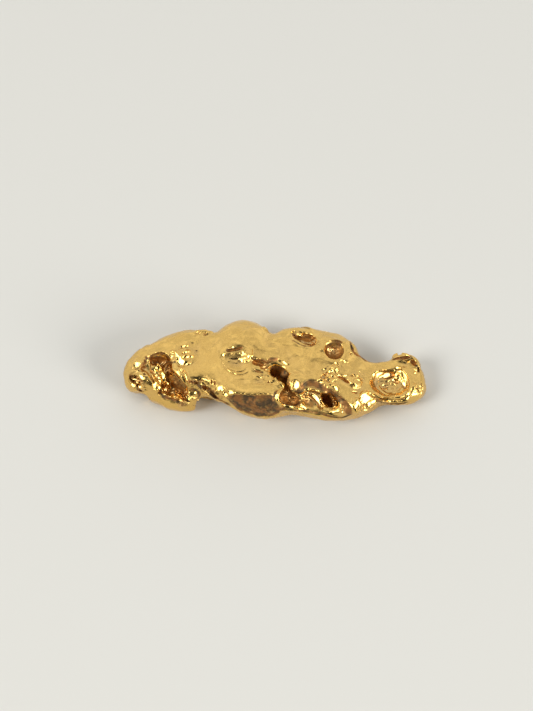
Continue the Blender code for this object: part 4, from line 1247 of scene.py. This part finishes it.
def nativeGold(values):
    material = bpy.data.materials.new("nativeGold")
    material.use_nodes = True
    tree = material.node_tree
    shader = tree.nodes["Principled BSDF"]
    place = tree.nodes.new("ShaderNodeTexCoord").outputs["Object"]
    grain = useGroup(tree, wornGrain(), Vector=place, Size=values["grainSize"] * mm)
    wrinkled = softWrinkles()
    wrinkles = useGroup(tree, wrinkled, Vector=place, Size=values["wrinkleSize"] * mm)
    folds = useGroup(tree, wrinkled, Vector=place, Size=values["foldSize"] * mm)
    dirtAndShade = useGroup(tree, settledDirtAndShade(), Vector=place, Painted=layerNode(tree, "stainAndShade"),
                    Hollow=layerNode(tree, "crease"), Size=values["dirtSize"] * mm)["Mask"]
    # painted shade: how deep a place lies, which darkens the gold in the hollows and turns the stain there
    # more orange
    deep = ramp(tree, layerNode(tree, "hollow"), *values["deep"])
    patch = ramp(tree, noiseNode(tree, place, 1 / (values["patchSize"] * mm), 3, 0.6), 0.42, 0.62)
    mottle = mathNode(tree, "MULTIPLY", ramp(tree, grain["Height"], 0.9, 1.6), values["duller"])

    # colour: clean gold, darkened in the hollows by painted shade, duller in spots, and brown or grey where
    # it is dirty and where shade is painted
    colour = mixColour(tree, deep, values["colour"], values["hollowShadeColour"])
    colour = mixColour(tree, mottle, colour, values["dullerColour"])
    stainAndShade = mixColour(tree, patch, values["stainColour"], values["greyStain"])
    stainAndShade = mixColour(tree, deep, stainAndShade, values["deepStain"])
    tree.links.new(mixColour(tree, dirtAndShade, colour, stainAndShade), shader.inputs["Base Color"])

    # gloss: dirt, and the painted shade that shares its mask, is rougher and less metallic than gold
    metallic = mathNode(tree, "ADD", 1, mathNode(tree, "MULTIPLY", dirtAndShade, values["dirtMetallic"]))
    tree.links.new(metallic, shader.inputs["Metallic"])
    rough = mathNode(tree, "ADD", values["roughness"],
                     mathNode(tree, "MULTIPLY", grain["Mask"], values["grainRoughness"]))
    rough = mathNode(tree, "ADD", rough, mathNode(tree, "MULTIPLY", dirtAndShade, values["dirtRoughness"]))
    tree.links.new(rough, shader.inputs["Roughness"])

    # relief finer than the mesh: grain and wrinkles all over, folds where the skin is crumpled
    height = mathNode(tree, "ADD", mathNode(tree, "MULTIPLY", grain["Height"], values["grainHeight"]),
                      mathNode(tree, "MULTIPLY", wrinkles["Height"], values["wrinkleHeight"]))
    worked = mathNode(tree, "MULTIPLY", layerNode(tree, "worked"), values["foldHeight"])
    height = mathNode(tree, "ADD", height, mathNode(tree, "MULTIPLY", folds["Height"], worked))
    bump = tree.nodes.new("ShaderNodeBump")
    bump.inputs["Distance"].default_value = mm
    tree.links.new(height, bump.inputs["Height"])
    tree.links.new(bump.outputs["Normal"], shader.inputs["Normal"])
    return material


# Sizes and places in metres
stageValues = {
    "floorSize": 0.3,
    "floorColour": (0.65, 0.64, 0.59, 1),
    "floorRoughness": 0.9,
    "roomStrength": 0.9,
    "roomColour": (1, 1, 1, 1),
    "darkColour": (0.035, 0.035, 0.04, 1),
    "darkElevation": 36,  # the middle of the dark front of the room
    "darkEdge": (0.3, 0.8),  # where the dark starts and is full: cosines from its middle
    "blotchScale": 3.5,
    "blotchNoise": (0.35, 0.65),
    "blotchShade": (0.62, 1.3),
    "lamps": {  # watts, diameter, place
        "leftSoft": (2.1, 0.3, (-0.39, -0.21, 0.39)),
        "rightSoft": (2.1, 0.3, (0.42, -0.27, 0.24)),
    },
}


def makeFloor(values):
    mesh = bpy.data.meshes.new("floor")
    square = bmesh.new()
    bmesh.ops.create_grid(square, size=values["floorSize"] / 2)
    square.to_mesh(mesh)
    square.free()
    floor = bpy.data.objects.new("floor", mesh)
    bpy.context.scene.collection.objects.link(floor)
    material = bpy.data.materials.new("paleFloor")
    material.use_nodes = True
    shader = material.node_tree.nodes["Principled BSDF"]
    shader.inputs["Base Color"].default_value = values["floorColour"]
    shader.inputs["Roughness"].default_value = values["floorRoughness"]
    mesh.materials.append(material)


# A camera or a lamp in the scene, at a place and looking along a direction
def aimed(name, data, place, direction):
    thing = bpy.data.objects.new(name, data)
    thing.location = place
    thing.rotation_euler = direction.to_track_quat("-Z", "Y").to_euler()
    bpy.context.scene.collection.objects.link(thing)
    return thing


def makeCamera(values):
    data = bpy.data.cameras.new("camera")
    data.lens = values["lens"]
    data.clip_start = 0.005
    away = Vector(toEye)
    place = (Vector(values["aim"]) + away * values["distance"]) * mm
    bpy.context.scene.camera = aimed("camera", data, place, -away)


def makeLamps(values):
    for name, (energy, size, place) in values["lamps"].items():
        data = bpy.data.lights.new(name, "AREA")
        data.energy = energy
        data.shape = "DISK"
        data.size = size
        aimed(name, data, place, -Vector(place))


# A pale room with a dark front and soft blotches, for the gold to mirror
def makeRoom(values):
    world = bpy.data.worlds.new("studio")
    bpy.context.scene.world = world
    world.use_nodes = True
    tree = world.node_tree
    back = tree.nodes["Background"]
    place = tree.nodes.new("ShaderNodeTexCoord").outputs["Generated"]
    toward = tree.nodes.new("ShaderNodeVectorMath")
    toward.operation = "DOT_PRODUCT"
    angle = math.radians(values["darkElevation"])
    toward.inputs[1].default_value = (0, -math.cos(angle), math.sin(angle))
    tree.links.new(place, toward.inputs[0])
    shade = tree.nodes.new("ShaderNodeValToRGB")
    for element, position, colour in zip(shade.color_ramp.elements, values["darkEdge"],
                                         (values["roomColour"], values["darkColour"])):
        element.position = position
        element.color = colour
    tree.links.new(toward.outputs["Value"], shade.inputs["Fac"])
    blotches = tree.nodes.new("ShaderNodeMapRange")
    for label, part in zip(("From Min", "From Max", "To Min", "To Max"),
                           values["blotchNoise"] + values["blotchShade"]):
        blotches.inputs[label].default_value = part
    tree.links.new(noiseNode(tree, place, values["blotchScale"], 2, 0.5), blotches.inputs["Value"])
    patchy = tree.nodes.new("ShaderNodeVectorMath")
    patchy.operation = "SCALE"
    tree.links.new(shade.outputs["Color"], patchy.inputs[0])
    tree.links.new(blotches.outputs["Result"], patchy.inputs["Scale"])
    tree.links.new(patchy.outputs["Vector"], back.inputs["Color"])
    back.inputs["Strength"].default_value = values["roomStrength"]
    bpy.context.scene.view_settings.view_transform = "Standard"


makeCamera(viewValues)
print("camera placed")
nugget = buildNugget()
nugget.data.materials.append(nativeGold(goldValues))
print("gold material made")
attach(nugget, "root")
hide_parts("nugget")
makeFloor(stageValues)
makeRoom(stageValues)
makeLamps(stageValues)
print("floor, room and lamps placed")
